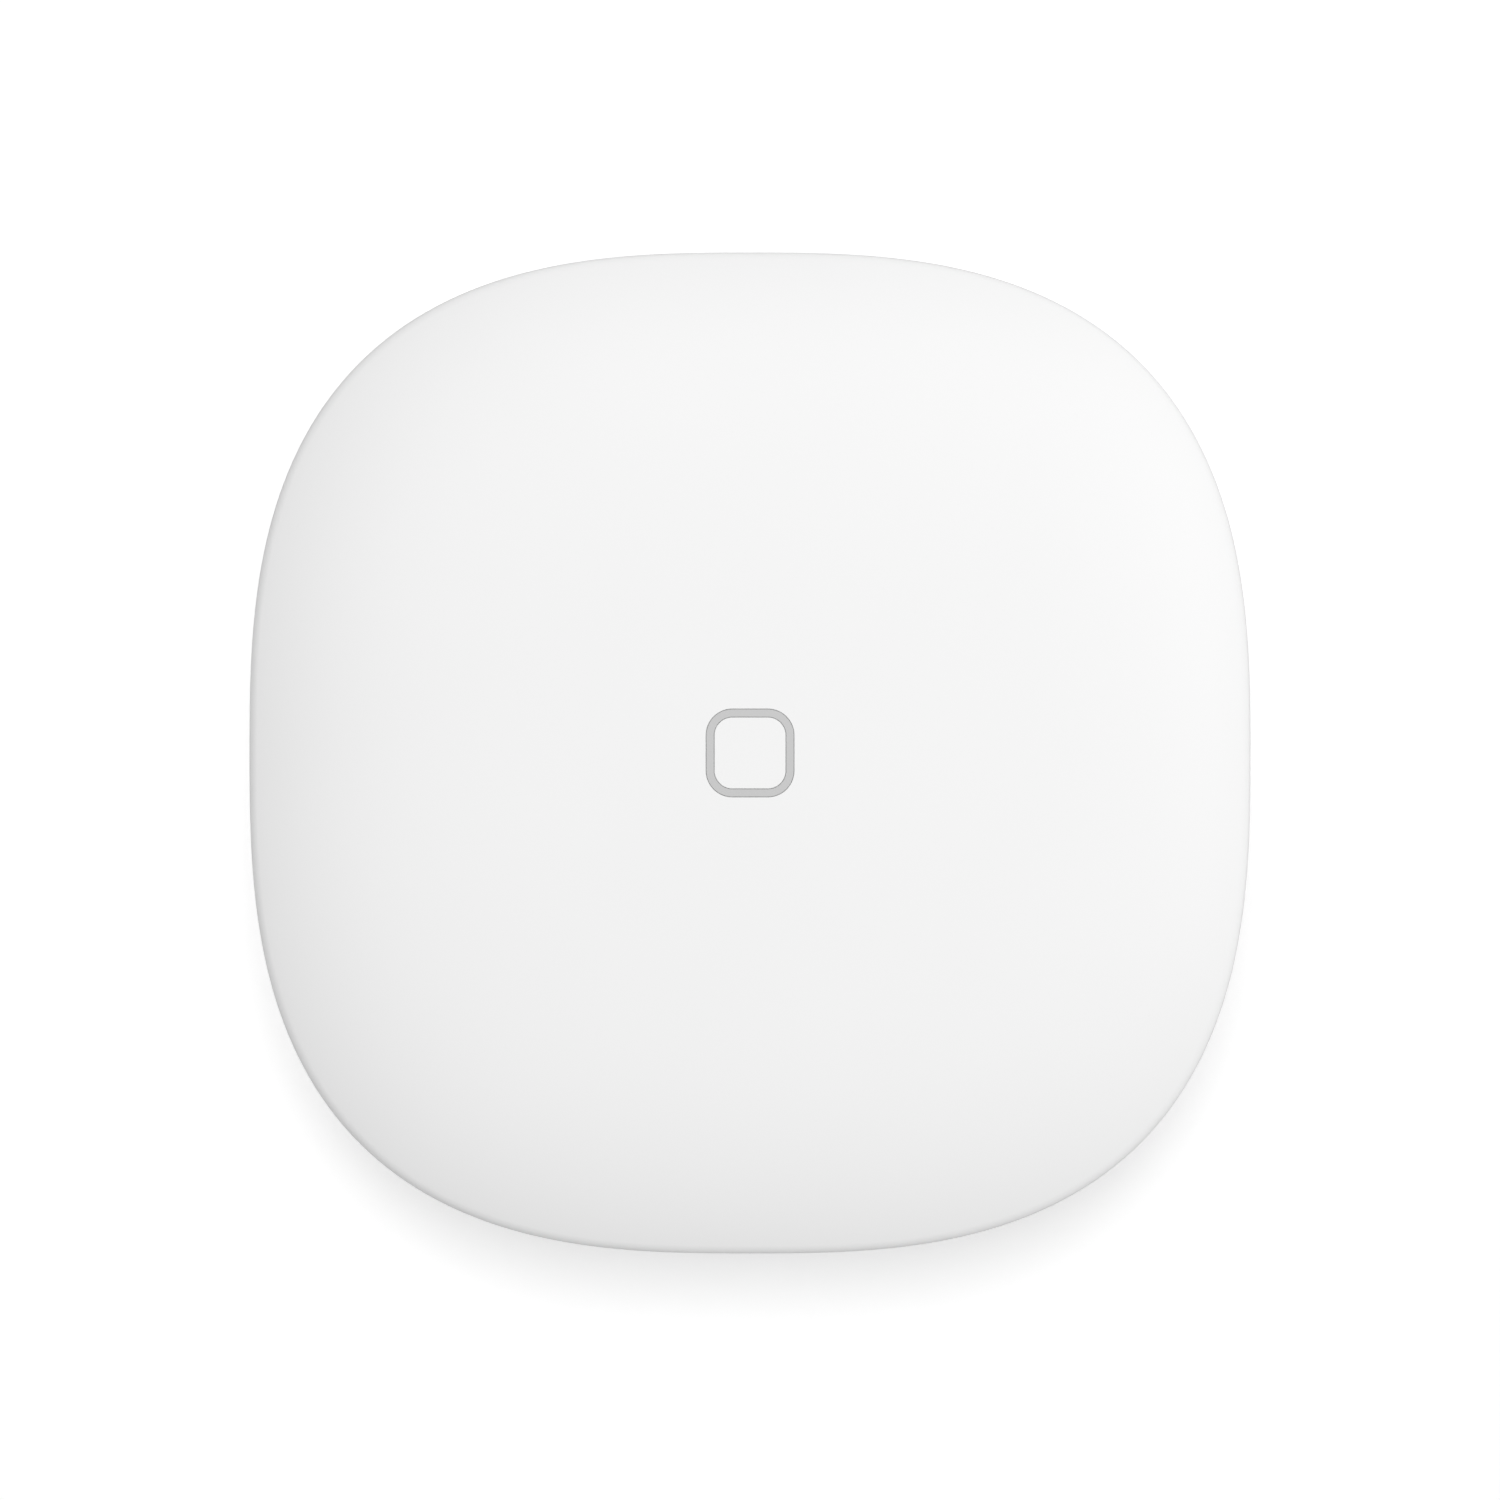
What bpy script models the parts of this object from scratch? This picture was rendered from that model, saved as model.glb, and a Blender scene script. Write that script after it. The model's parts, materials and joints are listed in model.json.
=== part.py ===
"""A smart home hub: a domed rounded-square puck with a push pad inside a light ring, and ports at the back.

Metres, +Z up. The hub stands on the plane z = 0, centred on the Z axis. The ports look along +Y.
"""

import math

import bmesh
import bpy
from mathutils import Matrix, Vector

# ---------------------------------------------------------------- driving sizes

WIDTH = 0.127  # across the flats of the plan, both ways
HEIGHT = 0.030  # from the table to the crown of the dome
PLAN_POWER = 2.79  # superellipse power of the plan: 2 is a circle, more is squarer
WALL = 0.0022  # moulded wall of both shells
FIT = 0.0003  # gap between pieces that rest on each other
SLIDE_FIT = 0.00012  # gap round a piece that slides in another
EMBED = 0.0011  # how far a moulded boss or rib starts inside the wall it grows from

FOOT_STAND = 0.001  # base of the case above the table
FOOT_RADIUS = 0.006
FOOT_ROUND = 0.0004
FOOT_POCKET = 0.0009  # depth of the pocket that a foot sits in
BASE_INSET = 0.0185  # edge of the flat underside, in from the widest outline
SIDE_POWER = 2.5  # superellipse power of the side below the split line
SPLIT_GAP = 0.0004  # shadow gap between the two shells
LIP_WIDTH = 0.0009
LIP_HEIGHT = 0.0014

EDGE_BAND = 0.0036  # upright band of the cover above the split line
EDGE_RADIUS = 0.0018
EDGE_SLOPE = math.radians(22)  # how steeply the dome meets its edge

RING_WIDTH = 0.01105  # outside of the light ring
RING_LINE = 0.0010  # width of the ring's line
RING_CORNER = 0.0033  # outside corner radius of the ring
PAD_THICK = 0.0016
PAD_EDGE = 0.0002
PAD_TRAVEL = 0.0005
FIN_THICK = 0.0012
HOOK_HEIGHT = 0.0016  # the fins flare out below a rib in the light guide, which keeps the pad in
RIB_DEPTH = 0.0005
RIB_HEIGHT = 0.0010
RIB_DROP = 0.0110  # top of the rib below the crown
GUIDE_FLANGE = 0.0020  # how far the light guide's flange stands out
FLANGE_THICK = 0.0012
COLLAR_WALL = 0.0014
SHROUD_WALL = 0.0010
RETAINER_THICK = 0.0014

BOARD_THICK = 0.0016
BOARD_STAND = 0.0018  # main board above the floor of the case
BOARD_MARGIN = 0.0012  # main board's edge to the case wall
PART_GAP = 0.0020  # between neighbours on the board

FOOT_INSET = 0.014  # feet, and the case screws behind them, in from the edge of the flat underside
CASE_SCREW_LENGTH = 0.0138
CASE_SCREW_RADIUS = 0.0015
CASE_HEAD_RADIUS = 0.0028
CASE_HEAD_THICK = 0.0020
CASE_SEAT = 0.0052  # the ledge that a screw's head bears on, above the table
PILLAR_WALL = 0.0017
PILLAR_TOP = 0.0117
COVER_BOSS_RADIUS = 0.0036

SMALL_SCREW_RADIUS = 0.00115
SMALL_HEAD_RADIUS = 0.0024
SMALL_HEAD_THICK = 0.0013
SMALL_BOSS_RADIUS = 0.0030
BOARD_SCREW_INSET = 0.0100  # the board's screws, in from its edge
HEAD_SIDE = 0.6  # upright part of a screw head's side, as a share of its thickness
HEAD_CROWN = 0.75  # flat top of a screw head, as a share of its radius

PANEL_WIDTH = 0.052
PANEL_WALL = 0.0014
PANEL_THICK = 0.0016
PANEL_CORNER = 0.0022
PANEL_DEPTH = 0.0065  # the panel's face, in from the hub's rear
PANEL_RIM = 0.0014  # case material left over the panel, up to the split line
CLIP_REACH = 0.0009  # the panel's side clips, past the opening in the case
CLIP_GAP = 0.0010  # between the clips and the wall that they catch on
CLIP_THICK = 0.0012
CLIP_LOW = 0.0120
CLIP_HIGH = 0.0165
STOP_WIDTH = 0.0016  # ribs of the case that stop the panel from behind
STOP_DEPTH = 0.0014
STOP_TOP = 0.0100

ETHERNET_X = 0.0120
ETHERNET_WIDTH = 0.0160
ETHERNET_HEIGHT = 0.0114
ETHERNET_DEPTH = 0.0180
ETHERNET_WALL = 0.0005
MOUTH_WIDTH = 0.0118
MOUTH_HEIGHT = 0.0066
MOUTH_DEPTH = 0.0140
LATCH_WIDTH = 0.0064
LATCH_HEIGHT = 0.0016
LINK_LIGHT_WIDTH = 0.0020
LINK_LIGHT_HEIGHT = 0.0016
LINK_LIGHT_LENGTH = 0.0067
CONTACTS = 8
CONTACT_PITCH = 0.00102
CONTACT_WIDTH = 0.00046
CONTACT_THICK = 0.0003
CONTACT_LENGTH = 0.0075
COMB_HEIGHT = 0.0010
COMB_DEPTH = 0.0012

POWER_X = -0.0150
POWER_WIDTH = 0.0090
POWER_HEIGHT = 0.0108
POWER_DEPTH = 0.0135
POWER_ROUND = 0.0004
POWER_BORE_RADIUS = 0.0032
POWER_BORE_DEPTH = 0.0095
POWER_PIN_RADIUS = 0.0010
POWER_PIN_SINK = 0.0008

RESET_X = -0.0035
RESET_HEIGHT = 0.0030  # the reset button's axis above the board
RESET_RADIUS = 0.0017
RESET_TRAVEL = 0.0004
RESET_SINK = 0.0006  # the reset button's face behind the panel's face
RESET_FLANGE = 0.0006
RESET_FLANGE_THICK = 0.0008
RESET_PLUNGER_RADIUS = 0.0008
RESET_PLUNGER_LENGTH = 0.0018
RESET_SWITCH_WIDTH = 0.0060
RESET_SWITCH_DEPTH = 0.0036
RESET_SWITCH_WALL = 0.0010  # switch body above its plunger

SWITCH_SIDE = 0.0062
SWITCH_HEIGHT = 0.0034
SWITCH_ROUND = 0.0003
PLUNGER_RADIUS = 0.0016
PLUNGER_STAND = 0.0013  # plunger above the switch body
PLUNGER_SUNK = 0.0006  # plunger below the switch's top at rest
LED_LENGTH = 0.0020
LED_WIDTH = 0.0012
LED_HEIGHT = 0.0008
SPRING_RADIUS = 0.0026
SPRING_WIRE = 0.00022
SPRING_TURNS = 4
SPRING_LENGTH = 0.0052

CAN_WALL = 0.0003
CAN_ROUND = 0.0004
CHIP_ROUND = 0.0002
PROCESSOR_CAN = 0.0280
PROCESSOR_CAN_HEIGHT = 0.0024
PROCESSOR_Y = -0.0050
PROCESSOR_SIDE = 0.0140
PROCESSOR_THICK = 0.0013
MEMORY_WIDTH = 0.0130
MEMORY_DEPTH = 0.0085
MEMORY_THICK = 0.0010
CHIP_MARGIN = 0.0015  # from the shield's wall to the nearest chip
THERMAL_SIDE = 0.0200
THERMAL_THICK = 0.0015
SPREADER_THICK = 0.0012
SPREADER_FOLD = 0.0018
POST_RADIUS = 0.0024
RADIO_WIDTH = 0.0170
RADIO_DEPTH = 0.0150
RADIO_HEIGHT = 0.0021
RADIO_SPACING = 0.0060
RADIO_Y = -0.0035  # middle of the pair of radios
CAPACITOR_RADIUS = 0.00315
CAPACITOR_HEIGHT = 0.0075
CAPACITOR_BASE_SIDE = 0.0066
CAPACITOR_BASE_THICK = 0.0010
INDUCTOR_SIDE = 0.0072
INDUCTOR_HEIGHT = 0.0040
TRANSFORMER_WIDTH = 0.0125
TRANSFORMER_DEPTH = 0.0080
TRANSFORMER_HEIGHT = 0.0055
PART_ROUND = 0.0005

ANTENNA_GAP = 0.0010  # between an antenna board and the case wall beside it
ANTENNA_THICK = 0.0008
ANTENNA_LENGTH = 0.034
ANTENNA_HEIGHT = 0.0092
ANTENNA_LIFT = 0.0055  # antenna boards above the floor of the case
POST_WIDTH = 0.0030  # slotted posts that hold the antenna boards
POST_SHELF = 0.0014  # post below the board
POST_GRIP = 0.0030  # post beside the board
SOCKET_RADIUS = 0.0015
SOCKET_HEIGHT = 0.0012
SOCKET_INSET = 0.0065
SOCKET_Y = -0.0085
CABLE_RADIUS = 0.00055
CABLE_EXIT = 0.0050  # where a cable leaves its antenna board, above the board's lower edge
CABLE_LEAVES = ((0, 0.0060, 0), (0.0012, 0.0060, 0), (0.0026, 0.0045, 0.0004), (0.0042, 0.0010, 0.0018))
CABLE_LANDS = ((0.0050, -0.0030, 0.0014), (0.0056, -0.0065, 0.0004))

LABEL_RADIUS = 0.022
LABEL_THICK = 0.0003
LABEL_POCKET = 0.0005
VENT_RADIUS = 0.0320  # circle through the middles of the vent slots
VENT_LENGTH = 0.0070
VENT_WIDTH = 0.0018
VENTS = 20

PLAN_STEPS = 48  # sides of the shells' plan
SQUARE_STEPS = 24  # sides of the rounded-square pieces
ROUND_STEPS = 16  # sides of round pieces
SMALL_STEPS = 12  # sides of screws and pins
SIDE_POINTS = 6
DOME_POINTS = 7
EDGE_POINTS = 3

SLOT_END = 0.99  # corner radius of a slot's ends, as a share of its half width
DOME_SPREAD = 0.45  # under 1 puts the dome's rows closer together near its edge

# ---------------------------------------------------------------- derived sizes

HALF = WIDTH / 2
BASE_HALF = HALF - BASE_INSET
CASE_SCREW_AT = BASE_HALF - FOOT_INSET  # the four case screws and feet, from the axis along X and along Y
FLOOR = FOOT_STAND + WALL
BOARD_BOTTOM = FLOOR + BOARD_STAND
BOARD_TOP = BOARD_BOTTOM + BOARD_THICK
PART_SEAT = BOARD_TOP + FIT  # underside of what is soldered to the board
ETHERNET_TOP = PART_SEAT + ETHERNET_HEIGHT
PANEL_BOTTOM = PART_SEAT - SLIDE_FIT - PANEL_WALL
PANEL_TOP = ETHERNET_TOP + SLIDE_FIT + PANEL_WALL / 2
SPLIT = PANEL_TOP + FIT + PANEL_RIM
COVER_BOTTOM = SPLIT + SPLIT_GAP / 2
REBATE_TOP = SPLIT + LIP_HEIGHT + FIT
LIP_HALF = HALF - WALL + LIP_WIDTH
REBATE_HALF = LIP_HALF + FIT
BELOW = FOOT_STAND - WALL  # where a cutter starts that opens the underside

EDGE_BASE = COVER_BOTTOM + EDGE_BAND
EDGE_TURN = math.pi / 2 - EDGE_SLOPE
DOME_HALF = HALF - EDGE_RADIUS * (1 - math.cos(EDGE_TURN))
DOME_RISE = HEIGHT - EDGE_BASE - EDGE_RADIUS * math.sin(EDGE_TURN)
DOME_POWER = math.tan(EDGE_SLOPE) * DOME_HALF / DOME_RISE
COVER_UNDER = HEIGHT - WALL
UNDER_HALF = HALF - WALL

RING_HALF = RING_WIDTH / 2
RING_INNER = RING_HALF - RING_LINE
CORNER_CENTRE = RING_HALF - RING_CORNER  # corner arcs of every rounded-square piece share it
WELL_HALF = RING_HALF + SLIDE_FIT
PAD_HALF = RING_INNER - SLIDE_FIT
RIB_TOP = HEIGHT - RIB_DROP
RIB_BOTTOM = RIB_TOP - RIB_HEIGHT
RIB_INNER = RING_INNER - RIB_DEPTH
FLANGE_HALF = RING_HALF + GUIDE_FLANGE
COLLAR_INNER = FLANGE_HALF + FIT
COLLAR_OUTER = COLLAR_INNER + COLLAR_WALL
COLLAR_DROP = DOME_RISE * (COLLAR_OUTER / DOME_HALF) ** DOME_POWER  # fall of the dome out to the collar
FLANGE_TOP = COVER_UNDER - COLLAR_DROP - FIT
FLANGE_BOTTOM = FLANGE_TOP - FLANGE_THICK
RETAINER_TOP = FLANGE_BOTTOM - FIT
RETAINER_BOTTOM = RETAINER_TOP - RETAINER_THICK
RETAINER_SCREW_X = COLLAR_OUTER + SMALL_BOSS_RADIUS - COLLAR_WALL / 2
LED_TOP = PART_SEAT + LED_HEIGHT
GUIDE_BOTTOM = LED_TOP + FIT
SHROUD_INNER = RING_HALF + FIT
SHROUD_OUTER = SHROUD_INNER + SHROUD_WALL

SWITCH_TOP = PART_SEAT + SWITCH_HEIGHT
PLUNGER_TOP = SWITCH_TOP + PLUNGER_STAND
PLUNGER_BOTTOM = SWITCH_TOP - PLUNGER_SUNK
SPRING_BOTTOM = SWITCH_TOP + SLIDE_FIT
STEM_BOTTOM = PLUNGER_TOP + SLIDE_FIT
FIN_BOTTOM = SPRING_BOTTOM + SPRING_LENGTH + SLIDE_FIT
HOOK_TOP = FIN_BOTTOM + HOOK_HEIGHT

PANEL_FACE = HALF - PANEL_DEPTH
PANEL_BACK = PANEL_FACE - PANEL_THICK
JACK_FACE = PANEL_FACE - SLIDE_FIT
RESET_Z = BOARD_TOP + RESET_HEIGHT
RESET_FACE = PANEL_FACE - RESET_SINK

PILLAR_RADIUS = CASE_HEAD_RADIUS + FIT + PILLAR_WALL
SMALL_HOLE = SMALL_SCREW_RADIUS + FIT
SMALL_HOLE_BOTTOM = FOOT_STAND + WALL / 2  # end of the blind holes for the board's screws
RETAINER_HOLE_TOP = COVER_UNDER + WALL / 4

# ---------------------------------------------------------------- materials


def material(name, colour, roughness, metallic=0.0):
    made = bpy.data.materials.new(name)
    made.use_nodes = True
    shader = made.node_tree.nodes["Principled BSDF"]
    shader.inputs["Base Color"].default_value = (*colour, 1.0)
    shader.inputs["Roughness"].default_value = roughness
    shader.inputs["Metallic"].default_value = metallic
    made.diffuse_color = (*colour, 1.0)
    return made


def make_materials():
    return {
        "shell": material("shell_white", (0.88, 0.88, 0.88), 0.42),
        "pad": material("pad_white", (0.88, 0.88, 0.88), 0.42),
        "guide": material("guide_grey", (0.56, 0.56, 0.56), 0.30),
        "panel": material("panel_white", (0.82, 0.82, 0.82), 0.50),
        "rubber": material("foot_rubber", (0.36, 0.37, 0.38), 0.85),
        "board": material("board_green", (0.02, 0.16, 0.08), 0.45),
        "shield": material("shield_steel", (0.70, 0.70, 0.68), 0.35, 1.0),
        "screw": material("screw_steel", (0.55, 0.55, 0.56), 0.30, 1.0),
        "gold": material("contact_gold", (0.80, 0.60, 0.25), 0.25, 1.0),
        "black": material("black_plastic", (0.02, 0.02, 0.022), 0.50),
        "chip": material("chip_black", (0.03, 0.03, 0.035), 0.60),
        "aluminium": material("spreader_aluminium", (0.75, 0.76, 0.77), 0.45, 1.0),
        "thermal": material("thermal_grey", (0.45, 0.50, 0.58), 0.90),
        "led": material("led_white", (0.90, 0.88, 0.75), 0.40),
        "label": material("label_silver", (0.72, 0.73, 0.74), 0.55),
        "cable": material("cable_black", (0.03, 0.03, 0.03), 0.55),
        "antenna": material("antenna_white", (0.80, 0.80, 0.76), 0.50),
        "green_light": material("link_green", (0.10, 0.45, 0.15), 0.25),
        "amber_light": material("link_amber", (0.75, 0.40, 0.05), 0.25),
    }


# ---------------------------------------------------------------- plan shapes


def plan_stretch(angle):
    """How far the squircle reaches at this angle, for a half width of 1."""
    c, s = abs(math.cos(angle)), abs(math.sin(angle))
    return (c**PLAN_POWER + s**PLAN_POWER) ** (-1 / PLAN_POWER)


def plan_half(x, y):
    """Half width of the squircle that passes through this point."""
    return (abs(x) ** PLAN_POWER + abs(y) ** PLAN_POWER) ** (1 / PLAN_POWER)


def to_squircle(x, y):
    """Carries a point of a turned shape to the squircle plan."""
    stretch = plan_stretch(math.atan2(y, x))
    return x * stretch, y * stretch


def to_rounded_square(x, y):
    """Carries a point of a turned shape to a rounded square whose corner arcs share CORNER_CENTRE."""
    radius = math.hypot(x, y)
    if radius <= CORNER_CENTRE:
        return x, y
    on_axis = radius * 1e-4
    grow = 1 - CORNER_CENTRE / radius
    right = 0 if abs(x) < on_axis else math.copysign(CORNER_CENTRE, x)
    back = 0 if abs(y) < on_axis else math.copysign(CORNER_CENTRE, y)
    return right + x * grow, back + y * grow


def squircle_outline(half, steps):
    angles = [math.tau * i / steps for i in range(steps)]
    return [(half * plan_stretch(a) * math.cos(a), half * plan_stretch(a) * math.sin(a)) for a in angles]


def circle_outline(radius, x=0.0, y=0.0, steps=ROUND_STEPS):
    angles = [math.tau * i / steps for i in range(steps)]
    return [(x + radius * math.cos(a), y + radius * math.sin(a)) for a in angles]


def rounded_outline(left, right, low, high, radius, steps=4):
    """Outline of a rectangle with round corners, counter-clockwise."""
    corners = ((right, high, 0), (left, high, 1), (left, low, 2), (right, low, 3))
    points = []
    for x, y, quarter in corners:
        cx = x - math.copysign(radius, x - (left + right) / 2)
        cy = y - math.copysign(radius, y - (low + high) / 2)
        for i in range(steps + 1):
            a = math.pi / 2 * (quarter + i / steps)
            points.append((cx + radius * math.cos(a), cy + radius * math.sin(a)))
    return points


def rounded_square_outline(half, steps=SQUARE_STEPS):
    turned_points = circle_outline(half, steps=steps)
    return [to_rounded_square(x, y) for x, y in turned_points]


# ---------------------------------------------------------------- modelling helpers

PARTS = None
CUTTERS = None


def new_object(name, mesh, collection):
    obj = bpy.data.objects.new(name, mesh)
    collection.objects.link(obj)
    return obj


def as_part(name, mesh, finish, origin=(0, 0, 0)):
    """Names a mesh as one piece of the hub, with its own origin at this point."""
    mesh.transform(Matrix.Translation(-Vector(origin)))
    obj = new_object(name, mesh, PARTS)
    obj.location = origin
    mesh.materials.clear()
    mesh.materials.append(finish)
    mesh.shade_smooth()
    mesh.set_sharp_from_angle(angle=math.radians(35))
    return obj


def baked_mesh(obj):
    """The object's evaluated mesh with loose caps welded. The object itself is removed."""
    bpy.context.view_layer.update()
    graph = bpy.context.evaluated_depsgraph_get()
    mesh = bpy.data.meshes.new_from_object(obj.evaluated_get(graph))
    mesh.transform(obj.matrix_world)
    bm = bmesh.new()
    bm.from_mesh(mesh)
    bmesh.ops.remove_doubles(bm, verts=bm.verts, dist=1e-6)
    bmesh.ops.recalc_face_normals(bm, faces=bm.faces)
    bm.to_mesh(mesh)
    bm.free()
    bpy.data.objects.remove(obj)
    return mesh


def turned(profile, steps, reshape=None):
    """Turns a profile of (radius, height) about Z with a Screw modifier, then redraws its plan."""
    on_axis = min(radius for radius, _ in profile) < 1e-6
    edges = [(i, i + 1) for i in range(len(profile) - 1)]
    if not on_axis:
        edges.append((len(profile) - 1, 0))
    line = bpy.data.meshes.new("profile")
    line.from_pydata([(radius, 0, height) for radius, height in profile], edges, [])
    obj = new_object("profile", line, PARTS)
    screw = obj.modifiers.new("turn", "SCREW")
    screw.steps = screw.render_steps = steps
    screw.use_merge_vertices = True
    screw.merge_threshold = 1e-6
    mesh = baked_mesh(obj)
    if reshape:
        for vertex in mesh.vertices:
            vertex.co.x, vertex.co.y = reshape(vertex.co.x, vertex.co.y)
    return mesh


def plate(outlines, low, high):
    """A flat piece from z = low to z = high. Outlines after the first are holes."""
    curve = bpy.data.curves.new("plate", "CURVE")
    curve.dimensions = "2D"
    curve.fill_mode = "BOTH"
    curve.extrude = (high - low) / 2
    for outline in outlines:
        spline = curve.splines.new("POLY")
        spline.points.add(len(outline) - 1)
        for point, (x, y) in zip(spline.points, outline):
            point.co = (x, y, 0, 1)
        spline.use_cyclic_u = True
    obj = new_object("plate", curve, PARTS)
    obj.location.z = (low + high) / 2
    return baked_mesh(obj)


def upright_plate(outlines, front, back):
    """A plate drawn in X and Z, from y = front to y = back."""
    mesh = plate(outlines, -back, -front)
    mesh.transform(Matrix.Rotation(math.pi / 2, 4, "X"))
    return mesh


def mesh_of(*adders):
    """One mesh from functions that each add a shape to it."""
    bm = bmesh.new()
    for add in adders:
        add(bm)
    mesh = bpy.data.meshes.new("shape")
    bm.to_mesh(mesh)
    bm.free()
    return mesh


def cylinder(radius, low, high, x=0.0, y=0.0, steps=ROUND_STEPS):
    """Adds an upright cylinder."""

    def add(bm):
        middle = Matrix.Translation((x, y, (low + high) / 2))
        bmesh.ops.create_cone(
            bm, cap_ends=True, segments=steps, radius1=radius, radius2=radius, depth=high - low, matrix=middle
        )

    return add


def rod(radius, start, end, x, z, steps=ROUND_STEPS):
    """Adds a cylinder that lies along Y."""

    def add(bm):
        place = Matrix.Translation((x, (start + end) / 2, z)) @ Matrix.Rotation(math.pi / 2, 4, "X")
        bmesh.ops.create_cone(
            bm, cap_ends=True, segments=steps, radius1=radius, radius2=radius, depth=end - start, matrix=place
        )

    return add


def box(x, y, z):
    """Adds a box from its (low, high) in X, Y and Z."""

    def add(bm):
        low, high = Vector((x[0], y[0], z[0])), Vector((x[1], y[1], z[1]))
        place = Matrix.Translation((low + high) / 2) @ Matrix.Diagonal((*(high - low), 1))
        bmesh.ops.create_cube(bm, size=1, matrix=place)

    return add


def centred(middle, size):
    """The (low, high) of a length about its middle."""
    return middle - size / 2, middle + size / 2


def combine(obj, mesh, operation):
    """Adds a Boolean with a hidden helper that holds this mesh."""
    helper = new_object(obj.name + "_helper", mesh, CUTTERS)
    helper.hide_render = True
    helper.display_type = "WIRE"
    boolean = obj.modifiers.new(operation.lower(), "BOOLEAN")
    boolean.operation = operation
    boolean.solver = "EXACT"
    boolean.object = helper


def cut(obj, *adders):
    combine(obj, mesh_of(*adders), "DIFFERENCE")


def join(obj, *adders):
    combine(obj, mesh_of(*adders), "UNION")


def soften(obj, width, segments=2):
    """Rounds the sharp edges of a simple piece."""
    bevel = obj.modifiers.new("round", "BEVEL")
    bevel.width = width
    bevel.segments = segments
    bevel.limit_method = "ANGLE"
    bevel.angle_limit = math.radians(40)


def wire(points, radius):
    """Mesh of a round wire along these points."""
    curve = bpy.data.curves.new("wire", "CURVE")
    curve.dimensions = "3D"
    curve.bevel_depth = radius
    curve.bevel_resolution = 2
    curve.use_fill_caps = True
    spline = curve.splines.new("POLY")
    spline.points.add(len(points) - 1)
    for point, place in zip(spline.points, points):
        point.co = (*place, 1)
    return baked_mesh(new_object("wire", curve, PARTS))


def smooth_route(points, per_leg=6):
    """Points on a Catmull-Rom curve through the route's own points."""
    route = [Vector(p) for p in points]
    ends = [route[0] * 2 - route[1]] + route + [route[-1] * 2 - route[-2]]
    made = []
    for a, b, c, d in zip(ends, ends[1:], ends[2:], ends[3:]):
        for i in range(per_leg):
            t = i / per_leg
            square = 2 * a - 5 * b + 4 * c - d
            cube = 3 * b - a - 3 * c + d
            made.append((2 * b + (c - a) * t + square * t**2 + cube * t**3) / 2)
    return made + [route[-1]]


# ---------------------------------------------------------------- shells


def side_wall(half, floor):
    """Side from the flat base up to the split line: a quarter of a superellipse, base first."""
    points = []
    for i in range(SIDE_POINTS + 1):
        t = math.pi / 2 * i / SIDE_POINTS
        out, up = abs(math.sin(t)) ** (2 / SIDE_POWER), abs(math.cos(t)) ** (2 / SIDE_POWER)
        points.append((BASE_HALF + (half - BASE_HALF) * out, SPLIT - (SPLIT - floor) * up))
    return points


def inner_half_at(height):
    """Half width of the inside of the case at this height."""
    up = min(1.0, max(0.0, (SPLIT - height) / (SPLIT - FLOOR)))
    out = (1 - up**SIDE_POWER) ** (1 / SIDE_POWER)
    return BASE_HALF + (HALF - WALL - BASE_HALF) * out


def inner_height_at(half):
    """Height of the inside of the case where the plan's half width is this."""
    out = min(1.0, max(0.0, (half - BASE_HALF) / (HALF - WALL - BASE_HALF)))
    return SPLIT - (SPLIT - FLOOR) * (1 - out**SIDE_POWER) ** (1 / SIDE_POWER)


def reach_at(half, across):
    """How far a squircle reaches along one axis at this distance across it."""
    return (half**PLAN_POWER - abs(across) ** PLAN_POWER) ** (1 / PLAN_POWER)


def dome(half):
    """Height of the outside of the cover where the plan's half width is this."""
    return HEIGHT - DOME_RISE * (half / DOME_HALF) ** DOME_POWER


def four_corners():
    return [(x * CASE_SCREW_AT, y * CASE_SCREW_AT) for x in (-1, 1) for y in (-1, 1)]


def board_half():
    return inner_half_at(BOARD_BOTTOM) - BOARD_MARGIN


def board_screws():
    """Left, right, front, and one beside the Ethernet jack."""
    side = board_half() - BOARD_SCREW_INSET
    beside_jack = ETHERNET_X + ETHERNET_WIDTH / 2 + 2 * SMALL_BOSS_RADIUS
    return {"left": (-side, 0), "right": (side, 0), "front": (0, -side), "rear": (beside_jack, side)}


def outer_case_profile():
    return list(reversed(side_wall(HALF, FOOT_STAND)[:-1])) + [(0, FOOT_STAND)]


def make_bottom_case(finish):
    land = SPLIT - SPLIT_GAP / 2
    lip_top = SPLIT + LIP_HEIGHT
    profile = [(0, FLOOR)] + side_wall(HALF - WALL, FLOOR)
    profile += [(HALF - WALL, lip_top), (LIP_HALF, lip_top), (LIP_HALF, land), (HALF, land)]
    profile += outer_case_profile()
    case = as_part("bottom_case", turned(profile, PLAN_STEPS, to_squircle), finish)
    start = FLOOR - EMBED
    join(case, *[cylinder(PILLAR_RADIUS, start, PILLAR_TOP, x, y) for x, y in four_corners()])
    boss_top = BOARD_BOTTOM - FIT
    join(case, *[cylinder(SMALL_BOSS_RADIUS, start, boss_top, x, y) for x, y in board_screws().values()])
    combine(case, upright_plate([panel_outline(FIT)], PANEL_BACK - 2 * WALL, HALF + WALL), "DIFFERENCE")
    join(case, *panel_stops())
    join(case, *antenna_posts())
    cut(case, *antenna_slots())
    for radius, top in (
        (CASE_SCREW_RADIUS + FIT, PILLAR_TOP + WALL),
        (CASE_HEAD_RADIUS + FIT, CASE_SEAT),
        (FOOT_RADIUS + FIT, FOOT_STAND + FOOT_POCKET),
    ):
        cut(case, *[cylinder(radius, BELOW, top, x, y) for x, y in four_corners()])
    holes = [cylinder(SMALL_HOLE, SMALL_HOLE_BOTTOM, BOARD_TOP, x, y) for x, y in board_screws().values()]
    cut(case, *holes)
    cut(case, cylinder(LABEL_RADIUS + FIT, BELOW, FOOT_STAND + LABEL_POCKET, steps=PLAN_STEPS))
    combine(case, vent_cutters(), "DIFFERENCE")


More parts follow.
